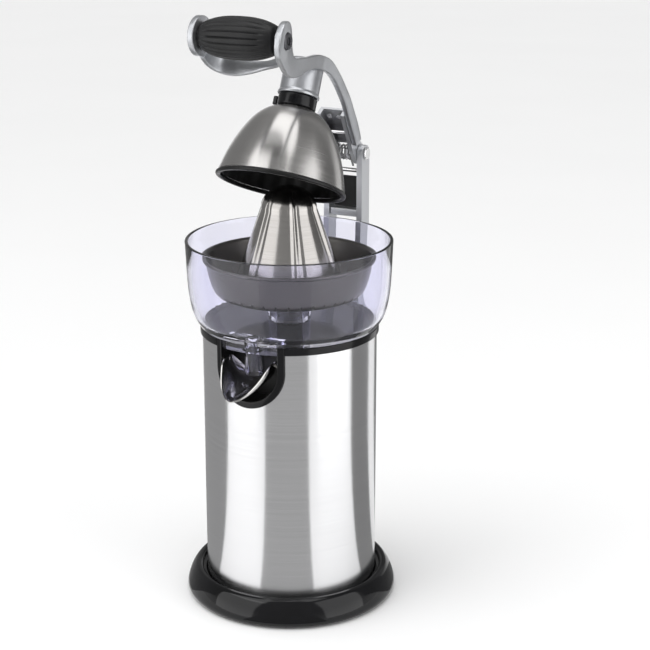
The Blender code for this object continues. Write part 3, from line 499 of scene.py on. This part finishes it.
def arc(centre, radius, start, end, steps):
    points = []
    for i in range(steps + 1):
        angle = math.radians(start + (end - start) * i / steps)
        points.append((centre[0] + radius * math.cos(angle), centre[1] + radius * math.sin(angle)))
    return points


def mouth_outline(radius, top, steps=40):
    """U shape seen from the front, open side up."""
    return [(-radius, top)] + arc((0.0, MOUTH_CENTRE_Z), radius, 180.0, 360.0, steps) + [(radius, top)]


def front_y(x, radius):
    return -math.sqrt(radius * radius - x * x)


# Base and drum ---------------------------------------------------------------------------------------

def base_skirt():
    """Flared glossy foot with the dark step that the steel drops into."""
    crown = smooth_path([(0.0638, 0.0168), (0.0657, 0.0155), (0.0682, 0.0118), (0.0702, 0.0070),
                         (SKIRT_R, 0.0032), (0.0708, 0.0010), (0.0700, 0.0)])
    outline = [(0.0608, 0.0158), (0.0622, 0.0168)] + crown
    outline += [(0.0662, 0.0), (0.0656, 0.0064), (0.0500, 0.0064), (0.0500, 0.0096), (0.0580, 0.0096),
                (0.0582, 0.0130), (0.0606, 0.0134)]
    return turned("skirt", outline, gloss_black("skirt_gloss_black", 0.07), "base", ["base_skirt"],
                  0.0005, 160)


def steel_drum():
    """Brushed sheet drum with a rolled lower edge, its U opening and the cord hole."""
    top = BAND_BOTTOM + 0.0022
    outline = [(HOUSING_R, top), (HOUSING_R, SHELF_Z + 0.0012), (HOUSING_R - 0.0003, SHELF_Z),
               (HOUSING_R - STEEL_WALL, SHELF_Z), (HOUSING_R - STEEL_WALL, top)]
    look = brushed_round("drum_brushed_steel", (0.80, 0.80, 0.81), (0.75, 0.75, 0.76), 0.20, 0.88)
    drum = turned("drum", outline, look, "base", ["steel_shell"], 0.0003, 192)
    mouth = bmesh.new()
    outline = mouth_outline(0.0228, 0.2000)
    skin(mouth, [[(x, -0.0700, z) for x, z in outline], [(x, -0.0300, z) for x, z in outline]])
    cut(drum, mouth, "drum_mouth")
    hole = bmesh.new()
    cylinder(hole, 0.0042, (0.0, 0.0500, GLAND_Z), (0.0, 0.0650, GLAND_Z), 32, 0.0001)
    return cut(drum, hole, "drum_cord_hole")


def mouth_edging():
    """Glossy black moulding round the U opening, rounded on its outer edges."""
    inner = mouth_outline(MOUTH_R, BAND_TOP, 48)
    outer = mouth_outline(MOUTH_R + TRIM_WIDTH, BAND_TOP, 48)
    low = HOUSING_R + 0.0003
    sections = []
    for (xi, zi), (xo, zo) in zip(inner, outer):
        loop = []
        for across, proud in ((0.0, low), (1.0, low), (1.0, BAND_R - 0.0004), (0.93, BAND_R - 0.0001),
                              (0.85, BAND_R), (0.15, BAND_R), (0.07, BAND_R - 0.0001),
                              (0.0, BAND_R - 0.0004)):
            x = xi + (xo - xi) * across
            loop.append((x, front_y(x, proud), zi + (zo - zi) * across))
        sections.append(loop)
    bm = bmesh.new()
    skin(bm, sections)
    look = gloss_black("edging_gloss_black", 0.16)
    return finished("mouth_edging", bm, look, "base", ["spout_trim"], 50.0)


def top_band():
    """Black band that caps the drum, cut away where the U edging meets it."""
    lip = HOUSING_R + 0.0003
    seat = BAND_BOTTOM + 0.0025
    outline = [(BAND_R, BAND_TOP), (BAND_R, BAND_BOTTOM), (lip, BAND_BOTTOM), (lip, seat), (0.0562, seat),
               (0.0562, 0.1810), (0.0547, 0.1810), (0.0547, BAND_TOP)]
    band = turned("top_band", outline, gloss_black("band_gloss_black", 0.16), "base", ["top_trim"],
                  0.0005, 192)
    reach = MOUTH_R + TRIM_WIDTH + 0.0001
    return cut(band, cut_block((-reach, -0.0650, 0.1780), (reach, -0.0400, 0.1900)), "band_gap")


# Bowl, strainer, reamer and lip ----------------------------------------------------------------------

def clear_bowl():
    """Clear bowl with its central chimney, outlet block and nozzle, moulded in one."""
    floor = BAND_TOP + 0.0003
    side = smooth_path([(0.0672, 0.2270), (0.0663, 0.2120), (0.0646, 0.2008), (0.0624, 0.1938),
                        (0.0596, 0.1890)], 5)
    inside = smooth_path([(0.0566, 0.1902), (0.0598, 0.1945), (0.0622, 0.2022), (0.0638, 0.2125),
                          (0.0648, 0.2270)], 5)
    outline = [(BOWL_RIM_R, BOWL_RIM_Z - 0.0004)] + side + [(0.0588, floor), (0.0092, floor)]
    outline += [(0.0092, 0.2262), (0.0110, 0.2262), (0.0113, 0.2072), (0.0136, 0.2072), (0.0142, 0.1900)]
    outline += inside + [(0.0656, BOWL_RIM_Z - 0.0004), (0.0660, BOWL_RIM_Z), (0.0674, BOWL_RIM_Z)]
    bowl = turned("clear_bowl", outline, clear_plastic("bowl_clear_plastic"), "base", ["juice_bowl"],
                  0.0004, 160)
    plan = [(x, front_y(x, 0.0580)) for x in [-0.0197 + 0.0394 * i / 16 for i in range(17)]]
    plan += [(0.0197, -0.0420), (-0.0197, -0.0420)]
    outlet = bmesh.new()
    skin(outlet, [[(x, y, 0.1822) for x, y in plan], [(x, y, 0.1886) for x, y in plan]])
    cut(bowl, outlet, "bowl_outlet", "UNION")
    nozzle = bmesh.new()
    cylinder(nozzle, 0.0063, (0.0, NOZZLE_Y, 0.1660), (0.0, NOZZLE_Y, 0.1850), 48)
    cut(bowl, nozzle, "bowl_nozzle", "UNION")
    drain = bmesh.new()
    cylinder(drain, 0.0047, (0.0, NOZZLE_Y, 0.1600), (0.0, NOZZLE_Y, 0.1950), 48, 0.0001)
    cut(bowl, drain, "bowl_drain")
    bowl.visible_shadow = False  # clear walls let the light straight through
    return bowl


def strainer_basin():
    """Pressed steel strainer with a ring of narrow slots near its floor."""
    outer = smooth_path([(0.0558, 0.2300), (0.0535, 0.2215), (0.0502, 0.2122), (0.0478, 0.2089),
                         (0.0450, 0.2076)], 5)
    inner = smooth_path([(0.0446, 0.2087), (0.0470, 0.2100), (0.0493, 0.2130), (0.0524, 0.2219),
                         (0.0549, 0.2312)], 5)
    outline = [(0.0578, 0.2324), (0.0578, 0.2310)] + outer + [(0.0119, 0.2075), (0.0119, 0.2087)] + inner
    outline += [(0.0560, 0.2324)]
    look = brushed_round("strainer_satin_steel", (0.115, 0.110, 0.105), (0.112, 0.107, 0.102), 0.30, 0.5,
                         0.002, 2600.0, 0.0)
    basin = turned("strainer_basin", outline, look, "base", ["strainer"], 0.0003, 144)
    slots = bmesh.new()
    count = 40
    for i in range(count):
        turn = Matrix.Rotation(2.0 * math.pi * i / count, 4, "Z")
        place = Matrix.Translation((0.0478, 0.0, 0.2098)) @ Matrix.Rotation(math.radians(40.0), 4, "Y")
        size = Matrix.Diagonal((0.0040, 0.0007, 0.0062, 1.0))
        bmesh.ops.create_cube(slots, size=1.0, matrix=turn @ place @ size)
    return cut(basin, slots, "basin_slots")


def reamer_radius(z):
    """Radius between the ribs: straight flank, then a rounded tip."""
    tip_start = 0.2640
    flank = 0.0354 - 0.359 * (min(z, tip_start) - 0.2160)
    if z <= tip_start:
        return flank
    t = (z - tip_start) / (REAMER_TIP - tip_start)
    return flank * math.sqrt(max(0.0, 1.0 - t * t))


def rib_height(z, angle):
    """Narrow rib with hollow flanks, fading out over the tip."""
    phase = ((angle - RIB_PHASE) * RIB_COUNT / (2.0 * math.pi)) % 1.0
    near = min(phase, 1.0 - phase) * 2.0
    height = 0.0014 if z < 0.2660 else 0.0014 * max(0.0, (REAMER_TIP - z) / (REAMER_TIP - 0.2660))
    ridge = math.exp(-((near / 0.12) ** 2))
    hollow = 0.0004 * math.exp(-(((near - 0.27) / 0.10) ** 2)) * min(1.0, height / 0.0014)
    return height * ridge - hollow


def reamer():
    """Fluted steel cone, hollow underneath."""
    heights = [REAMER_BOTTOM + (0.2640 - REAMER_BOTTOM) * i / 12 for i in range(13)]
    heights += [0.2640 + 0.0148 * math.sin(math.pi / 2 * i / 10) for i in range(1, 11)]
    outline = [(0.0, REAMER_TIP)] + [(reamer_radius(z), z) for z in reversed(heights)]
    inside = [(reamer_radius(z) - 0.0018, z) for z in (REAMER_BOTTOM, 0.2380, 0.2540, 0.2640)]
    outline += inside + [(0.0, 0.2720)]
    inner_start = len(outline) - len(inside) - 1

    bm = bmesh.new()
    inner_radii = {round(r, 7) for r, _ in outline[inner_start:]}

    def wave(radius, height, angle):
        if round(radius, 7) in inner_radii:
            return radius
        return radius + rib_height(height, angle)

    spin(bm, outline, 216, wave)
    look = brushed_round("reamer_polished_steel", (0.42, 0.405, 0.39), (0.38, 0.365, 0.35), 0.18, 0.5,
                         0.012, 1500.0, 0.03)
    return finished("reamer_fluted", bm, look, "reamer", ["reamer_cone"], 60.0)


def pouring_lip():
    """Polished trough hung on two side stubs."""
    stations = smooth_path([
        (-0.0430, 0.0105, 0.1600, 0.1680), (-0.0485, 0.0166, 0.1592, 0.1762),
        (-0.0550, 0.0172, 0.1586, 0.1768), (-0.0610, 0.0165, 0.1580, 0.1740),
        (-0.0670, 0.0140, 0.1574, 0.1680), (-0.0730, 0.0105, 0.1568, 0.1625),
        (-0.0775, 0.0065, 0.1562, 0.1590), (-0.0800, 0.0030, 0.1560, 0.1576)], 5)
    wall = 0.0007
    around = 28
    sections = []
    for y, half, low, high in stations:
        outer = []
        inner = []
        for i in range(around + 1):
            angle = math.pi * i / around
            drop = math.sin(angle)
            outer.append((-half * math.cos(angle), y, high - (high - low) * drop))
            inner.append((-(half - wall) * math.cos(angle), y, high - (high - low - wall) * drop))
        sections.append(outer + list(reversed(inner)))
    bm = bmesh.new()
    skin(bm, sections)
    for side in (-1.0, 1.0):
        cylinder(bm, 0.0016, (side * 0.0160, -0.0500, 0.1740), (side * 0.0219, -0.0500, 0.1740), 24, 0.0003)
    look = polished("lip_polished_steel", (0.58, 0.57, 0.56), (0.50, 0.49, 0.48), 0.12)
    return finished("pouring_lip", bm, look, "spout", ["spout_scoop"], 50.0)


# Lever -----------------------------------------------------------------------------------------------

def blade_x(y):
    """Inner face of the blade: straight beside the root, flaring out towards the handle."""
    if y > 0.0400:
        return RAIL_INNER_X
    if y > -0.0040:
        return RAIL_INNER_X + 0.0011 * (0.0400 - y) / 0.0440
    return RAIL_INNER_X + 0.0011 + 0.2 * (-0.0040 - y)


def grip_rod(radius, low_x, high_x, sides):
    """Bar on the grip's axis, used to bore the two pieces that hold the grip."""
    bm = bmesh.new()
    cylinder(bm, radius, (low_x, GRIP_AXIS.y, GRIP_AXIS.z), (high_x, GRIP_AXIS.y, GRIP_AXIS.z), sides, 0.0001)
    return bm


def lever_blade():
    """Curved cast blade from the root to the round handle boss, with soft edges."""
    stations = smooth_path([
        (-0.1004, 0.3095, -0.1004, 0.3060), (-0.0980, 0.3153, -0.0980, 0.3007),
        (-0.0935, 0.3192, -0.0935, 0.2968), (-0.0870, 0.3204, -0.0875, 0.2954),
        (-0.0810, 0.3170, -0.0816, 0.2944), (-0.0760, 0.3110, -0.0750, 0.2934),
        (-0.0690, 0.3066, -0.0680, 0.2936), (-0.0610, 0.3068, -0.0591, 0.2951),
        (-0.0500, 0.3106, -0.0475, 0.2999), (-0.0381, 0.3147, -0.0365, 0.3061),
        (-0.0270, 0.3192, -0.0255, 0.3107), (-0.0170, 0.3230, -0.0145, 0.3144),
        (-0.0035, 0.3264, -0.0025, 0.3174), (0.0060, 0.3272, 0.0055, 0.3184),
        (0.0140, 0.3261, 0.0125, 0.3180), (0.0250, 0.3229, 0.0220, 0.3155),
        (0.0353, 0.3189, 0.0315, 0.3117), (0.0460, 0.3140, 0.0410, 0.3074),
        (0.0552, 0.3080, 0.0495, 0.3014), (0.0630, 0.3029, 0.0580, 0.2953),
        (0.0705, 0.2970, 0.0650, 0.2905), (0.0740, 0.2935, 0.0690, 0.2872)], 4)
    sections = []
    for yu, zu, yl, zl in stations:
        upper = Vector((yu, zu))
        lower = Vector((yl, zl))
        depth = (upper - lower).length
        radius = min(0.0009, depth * 0.3)
        loop = []
        for across, down in rounded_box_section((0.0, 0.0), (RAIL_THICK, depth), radius):
            spot = lower + (upper - lower) * (down / depth)
            loop.append((blade_x(spot.x) + across, spot.x, spot.y))
        sections.append(loop)
    bm = bmesh.new()
    skin(bm, sections)
    blade = finished("lever_blade", bm, cast_metal("blade_cast_aluminium"), "lever", ["lever_arm"], 50.0)
    hub = bmesh.new()
    outline = rounded([(0.0, 0.3232), (0.0112, 0.3232), (HUB_R, 0.3215), (HUB_R, 0.3022), (0.0136, 0.3012),
                       (0.0136, 0.2995), (0.0, 0.2995)], 0.0006, False)
    spin(hub, outline, 96)
    cut(blade, hub, "blade_hub", "UNION", True)
    cut(blade, grip_rod(BOLT_HOLE_R, 0.0200, 0.0400, 32), "blade_bolt_hole", "DIFFERENCE", True)
    return cut(blade, grip_rod(0.0055, 0.0310, 0.0400, 48), "blade_bolt_sink", "DIFFERENCE", True)


def collar():
    outline = [(0.0, 0.2992), (0.0122, 0.2992), (0.0126, 0.2986), (0.0126, 0.2922),
               (0.0120, DOME_TOP_Z + 0.0003), (0.0, DOME_TOP_Z + 0.0003)]
    return turned("dome_collar", outline, gloss_black("collar_gloss_black", 0.18), "lever", ["press_collar"],
                  0.0004, 96)


def dome_curve(offset, per_span=6):
    """Outer side of the dome moved inwards by an offset, from the top edge down to the rim."""
    heights = ((0.0120, 0.0483), (0.0188, 0.0449), (0.0256, 0.0383), (0.0318, 0.0280), (0.0375, 0.0142),
               (DOME_R, 0.0))
    points = []
    for radius, height in heights:
        lean = height / 0.0560
        points.append((radius - offset * (1.0 - 0.45 * lean), DOME_RIM_Z + height - offset * lean))
    return smooth_path(points, per_span)


def dome():
    """Spun steel dome."""
    wall = 0.0009
    outer = [(0.0, DOME_TOP_Z), (0.0100, 0.2912)] + dome_curve(0.0)
    inner = list(reversed(dome_curve(wall))) + [(0.0, DOME_TOP_Z - wall)]
    bm = bmesh.new()
    spin(bm, outer + inner, 160)
    look = brushed_round("dome_brushed_steel", (0.48, 0.47, 0.46), (0.455, 0.445, 0.435), 0.22, 0.8, 0.03,
                         2200.0, 0.02, True)
    return finished("dome_shell", bm, look, "lever", ["press_dome"], 40.0)


def rim_ring():
    """Black edge moulding round the dome's mouth."""
    low = DOME_RIM_Z - 0.0003
    outline = [(DOME_R, low), (DOME_R + 0.0011, low - 0.0006), (DOME_R + 0.0011, low - 0.0020),
               (DOME_R + 0.0003, low - 0.0026), (DOME_R - 0.0015, low - 0.0026),
               (DOME_R - 0.0022, low - 0.0018), (DOME_R - 0.0022, low)]
    return turned("dome_edge", outline, matte_black("rim_black", 0.34), "lever", ["dome_rim"], 0.0004, 128)


def liner():
    """Ribbed black moulding inside the dome."""
    wall = 0.0014
    start = 0.0013
    outer = [(0.0, DOME_TOP_Z - start)] + dome_curve(start, 3)
    inner = list(reversed(dome_curve(start + wall, 3))) + [(0.0, DOME_TOP_Z - start - wall)]
    count = len(outer)
    inner_radii = {round(r, 7) for r, _ in (outer + inner)[count:]}

    def wave(radius, height, angle):
        if round(radius, 7) not in inner_radii:
            return radius
        return radius + 0.0003 * math.cos(24.0 * angle)

    bm = bmesh.new()
    spin(bm, outer + inner, 144, wave)
    return finished("dome_lining", bm, matte_black("liner_black", 0.5), "lever", ["dome_liner"], 60.0)


def yoke():
    """Curved carrying strip behind the grip and the dished end plate."""
    stations = smooth_path([
        (-0.0266, -0.0810, 0.2972, 0.3090), (-0.0262, -0.0725, 0.2948, 0.3088),
        (-0.0232, -0.0640, 0.2937, 0.3078), (-0.0158, -0.0590, 0.2937, 0.3064),
        (-0.0060, -0.0572, 0.2960, 0.3052), (0.0040, -0.0578, 0.2990, 0.3046),
        (0.0140, -0.0622, 0.3000, 0.3056), (0.0229, -0.0695, 0.3000, 0.3066)], 6)
    sections = []
    for i, (x, y, low, high) in enumerate(stations):
        ahead = stations[min(i + 1, len(stations) - 1)]
        behind = stations[max(i - 1, 0)]
        along = Vector((ahead[0] - behind[0], ahead[1] - behind[1])).normalized()
        across = Vector((-along.y, along.x))
        loop = []
        for u, v in rounded_box_section((-0.0015, low), (0.0015, high), 0.0009):
            loop.append((x + across.x * u, y + across.y * u, v))
        sections.append(loop)
    bm = bmesh.new()
    skin(bm, sections)
    obj = finished("handle_strip", bm, cast_metal("yoke_cast_aluminium"), "lever", ["handle_yoke"], 50.0)
    plate = bmesh.new()
    outline = rounded([(0.0, 0.0038), (0.0122, 0.0038), (0.0122, 0.0), (0.0106, 0.0), (0.0098, 0.0007),
                       (0.0, 0.0007)], 0.0006, False)
    spin(plate, outline, 72)
    place = Matrix.Translation((-0.0287, GRIP_AXIS.y, GRIP_AXIS.z)) @ SIDEWAYS
    bmesh.ops.transform(plate, matrix=place, verts=plate.verts)
    cut(obj, plate, "yoke_plate", "UNION", True)
    return cut(obj, grip_rod(BOLT_HOLE_R, -0.0400, -0.0200, 32), "yoke_bolt_hole", "DIFFERENCE", True)


def barrel_grip():
    """Barrel grip with lengthwise grooves that fade before its smooth tapered ends."""
    half = GRIP_LENGTH / 2
    rows = 44
    outline = []
    for i in range(rows + 1):
        t = 1.0 - 2.0 * i / rows
        swell = 0.60 + 0.40 * math.cos(abs(t) ** 1.25 * math.pi / 2.0) ** 0.75
        outline.append((GRIP_R * swell, t * half))
    outline = [(0.0034, half), (GRIP_R * 0.55, half)] + outline + [(GRIP_R * 0.55, -half), (0.0034, -half)]

    def wave(radius, height, angle):
        along = abs(height) / half
        fade = max(0.0, min(1.0, (0.86 - along) / 0.22))
        groove = max(0.0, math.cos(GRIP_GROOVES * angle)) ** 2
        return radius - 0.0009 * fade * groove * (1.0 if radius > GRIP_R * 0.57 else 0.0)

    bm = bmesh.new()
    spin(bm, outline, 240, wave)
    place = Matrix.Translation(GRIP_AXIS + Vector((0.0006, 0.0, 0.0))) @ SIDEWAYS
    bmesh.ops.transform(bm, matrix=place, verts=bm.verts)
    return finished("barrel_grip", bm, rubber("grip_rubber"), "lever", ["grip"], 55.0)


def grip_bolt():
    """Bolt through the grip with a round socket in its head."""
    outline = [(0.0, 0.0322), (0.0024, 0.0322), (0.0024, 0.0336), (0.0046, 0.0336), (0.0051, 0.0331),
               (0.0051, 0.0313), (0.0030, 0.0313), (0.0030, -0.0306), (0.0, -0.0306)]
    bm = bmesh.new()
    spin(bm, rounded(outline, 0.0004, False), 6 * 12)
    place = Matrix.Translation(GRIP_AXIS) @ SIDEWAYS
    bmesh.ops.transform(bm, matrix=place, verts=bm.verts)
    look = polished("bolt_dark_steel", (0.16, 0.16, 0.17), (0.10, 0.10, 0.11), 0.28)
    return finished("handle_bolt", bm, look, "lever", ["grip_bolt"], 35.0)


# Carried-over CAD pieces -----------------------------------------------------------------------------

def soften(node, width, segments=2):
    """Round the edges of a CAD piece that is kept."""
    obj = NODES[node]
    for face in obj.data.polygons:
        face.use_smooth = True
    mod = obj.modifiers.new("soft_edges", "BEVEL")
    mod.width = width
    mod.segments = segments
    mod.limit_method = "ANGLE"
    mod.angle_limit = math.radians(35.0)
    mod.harden_normals = True


def dress(look, *names):
    """Give kept CAD nodes a material."""
    for name in names:
        obj = NODES[name]
        obj.data.materials.clear()
        obj.data.materials.append(look)


def kept_pieces():
    dress(matte_black("cover_matte_black", 0.55), "bottom_cover", "gear_cap", "press_switch", "reamer_core",
          "drive_deck")
    dress(matte_black("pocket_black", 0.42, 0.005), "spout_housing", "post_panel")
    dress(gloss_black("latch_gloss_black", 0.2), "latch_tab")
    dress(rubber("foot_rubber"), "foot_1", "foot_2", "foot_3", "foot_4", "cord_gland")
    dress(cast_metal("post_cast_aluminium"), "rail_left", "rail_right", "arm_bracket", "rail_tie")
    dress(cast_metal("root_cast_aluminium", (0.26, 0.26, 0.27), (0.18, 0.18, 0.19), 0.36), "lever_root")
    dress(polished("pin_polished_steel", (0.80, 0.80, 0.80), (0.68, 0.68, 0.68), 0.16), "pivot_pin",
          "pivot_clip", "stop_pin", "channel_pin", "drive_spindle", "lay_shaft", "lay_pinion",
          "motor_pinion", "thrust_plate")
    dress(polished("screw_steel", (0.72, 0.72, 0.72), (0.60, 0.60, 0.60), 0.24), "cover_screw_1",
          "cover_screw_2", "cover_screw_3", "rail_screw_left_low", "rail_screw_left_high",
          "rail_screw_right_low", "rail_screw_right_high", "web_screw_left", "web_screw_right", "grip_nut",
          "torsion_spring")
    dress(brushed_round("motor_steel", (0.50, 0.50, 0.50), (0.42, 0.42, 0.42), 0.4, 0.5), "motor_can")
    dress(cast_metal("chassis_zinc", (0.55, 0.55, 0.53), (0.45, 0.45, 0.44), 0.45), "motor_chassis")
    dress(nylon("gear_nylon"), "lay_wheel", "output_wheel")
    dress(nylon("plunger_white", (0.85, 0.85, 0.85), (0.80, 0.80, 0.80)), "switch_plunger")
    for node in ("rail_left", "rail_right", "arm_bracket", "lever_root"):
        soften(node, 0.0006)
    for node in ("rail_tie", "post_panel", "latch_tab", "spout_housing"):
        soften(node, 0.0003)


# Light, floor and camera -----------------------------------------------------------------------------

def around(distance, degrees, height):
    """Point round the object. Degrees count from the camera's side, positive to its right."""
    angle = TOWARDS_CAMERA + math.radians(degrees)
    return Vector((distance * math.cos(angle), distance * math.sin(angle), height))


def plain_look(name, colour, roughness):
    mat, tree, shader, coords = new_material(name)
    cloud = noise(tree, coords, 3.0, 2.0)
    pale = tuple(min(1.0, c * 1.01) for c in colour)
    tree.links.new(two_tone(tree, cloud, colour, pale), shader.inputs["Base Color"])
    shader.inputs["Roughness"].default_value = roughness
    return mat


def floor():
    bm = bmesh.new()
    bmesh.ops.create_grid(bm, x_segments=2, y_segments=2, size=9.0,
                          matrix=Matrix.Translation((0.0, 0.0, FLOOR_Z)))
    mesh = bpy.data.meshes.new("floor")
    bm.to_mesh(mesh)
    bm.free()
    mesh.materials.append(plain_look("floor_paper", (0.93, 0.93, 0.93), 0.6))
    obj = bpy.data.objects.new("floor", mesh)
    bpy.context.scene.collection.objects.link(obj)


def flag(name, first, last, tone):
    """Grey card bent round the object, its foot drawn in close to the base. It shades reflections only."""
    steps = 12
    bm = bmesh.new()
    rows = []
    for i in range(steps + 1):
        degrees = first + (last - first) * i / steps
        rows.append([bm.verts.new(around(distance, degrees, height)) for distance, height in FLAG_PROFILE])
    for left, right in zip(rows, rows[1:]):
        for k in range(len(FLAG_PROFILE) - 1):
            bm.faces.new((left[k], right[k], right[k + 1], left[k + 1]))
    mesh = bpy.data.meshes.new(name)
    bm.to_mesh(mesh)
    bm.free()
    mat = bpy.data.materials.new(name)
    mat.use_nodes = True
    tree = mat.node_tree
    tree.nodes.clear()
    glow = tree.nodes.new("ShaderNodeEmission")
    glow.inputs["Color"].default_value = (tone, tone, tone, 1.0)
    out = tree.nodes.new("ShaderNodeOutputMaterial")
    tree.links.new(glow.outputs[0], out.inputs["Surface"])
    mesh.materials.append(mat)
    obj = bpy.data.objects.new(name, mesh)
    bpy.context.scene.collection.objects.link(obj)
    obj.visible_camera = False
    obj.visible_diffuse = False
    obj.visible_transmission = False
    obj.visible_shadow = False


def softbox(name, degrees):
    """Large soft lamp beside the object, aimed at the middle of the drum."""
    data = bpy.data.lights.new(name, "AREA")
    data.shape = "RECTANGLE"
    data.size = 1.2
    data.size_y = 1.3
    data.energy = SOFTBOX_POWER
    lamp = bpy.data.objects.new(name, data)
    bpy.context.scene.collection.objects.link(lamp)
    lamp.location = around(SOFTBOX_DISTANCE, degrees, SOFTBOX_HEIGHT)
    lamp.rotation_euler = (Vector((0.0, 0.0, 0.20)) - lamp.location).to_track_quat("-Z", "Y").to_euler()


def studio_world():
    """Even white surroundings, brighter in a low band round the horizon."""
    world = bpy.data.worlds.new("studio")
    world.use_nodes = True
    tree = world.node_tree
    direction = tree.nodes.new("ShaderNodeTexCoord").outputs["Generated"]
    split = tree.nodes.new("ShaderNodeSeparateXYZ")
    tree.links.new(direction, split.inputs[0])
    glow = tree.nodes.new("ShaderNodeMapRange")
    glow.interpolation_type = "SMOOTHSTEP"
    glow.inputs["From Min"].default_value = 0.02
    glow.inputs["From Max"].default_value = 0.30
    glow.inputs["To Min"].default_value = 0.86
    glow.inputs["To Max"].default_value = 0.38
    tree.links.new(split.outputs["Z"], glow.inputs["Value"])
    background = tree.nodes["Background"]
    background.inputs["Color"].default_value = (1.0, 1.0, 1.0, 1.0)
    tree.links.new(glow.outputs["Result"], background.inputs["Strength"])
    return world


def light():
    """Wide soft light from above, a softbox on each side and the cards that shade the steel."""
    bpy.context.scene.world = studio_world()
    sky = bpy.data.lights.new("overhead", "SUN")
    sky.energy = 1.9
    sky.angle = math.radians(70.0)
    lamp = bpy.data.objects.new("overhead", sky)
    bpy.context.scene.collection.objects.link(lamp)
    lamp.rotation_euler = (math.radians(12.0), math.radians(-8.0), 0.0)
    for name, degrees in SOFTBOXES:
        softbox(name, degrees)
    for name, first, last, tone in FLAGS:
        flag(name, first, last, tone)
    bpy.context.scene.view_settings.view_transform = "Standard"


def camera():
    data = bpy.data.cameras.new("camera")
    data.sensor_width = 36.0
    data.lens = LENS
    data.clip_start = 0.01
    obj = bpy.data.objects.new("camera", data)
    bpy.context.scene.collection.objects.link(obj)
    obj.location = VIEW_FROM
    obj.rotation_euler = (VIEW_TILT, 0.0, VIEW_TURN)
    bpy.context.scene.camera = obj


base_skirt()
steel_drum()
mouth_edging()
top_band()
clear_bowl()
strainer_basin()
reamer()
pouring_lip()
lever_blade()
collar()
dome()
rim_ring()
liner()
yoke()
barrel_grip()
grip_bolt()
kept_pieces()
floor()
light()
camera()
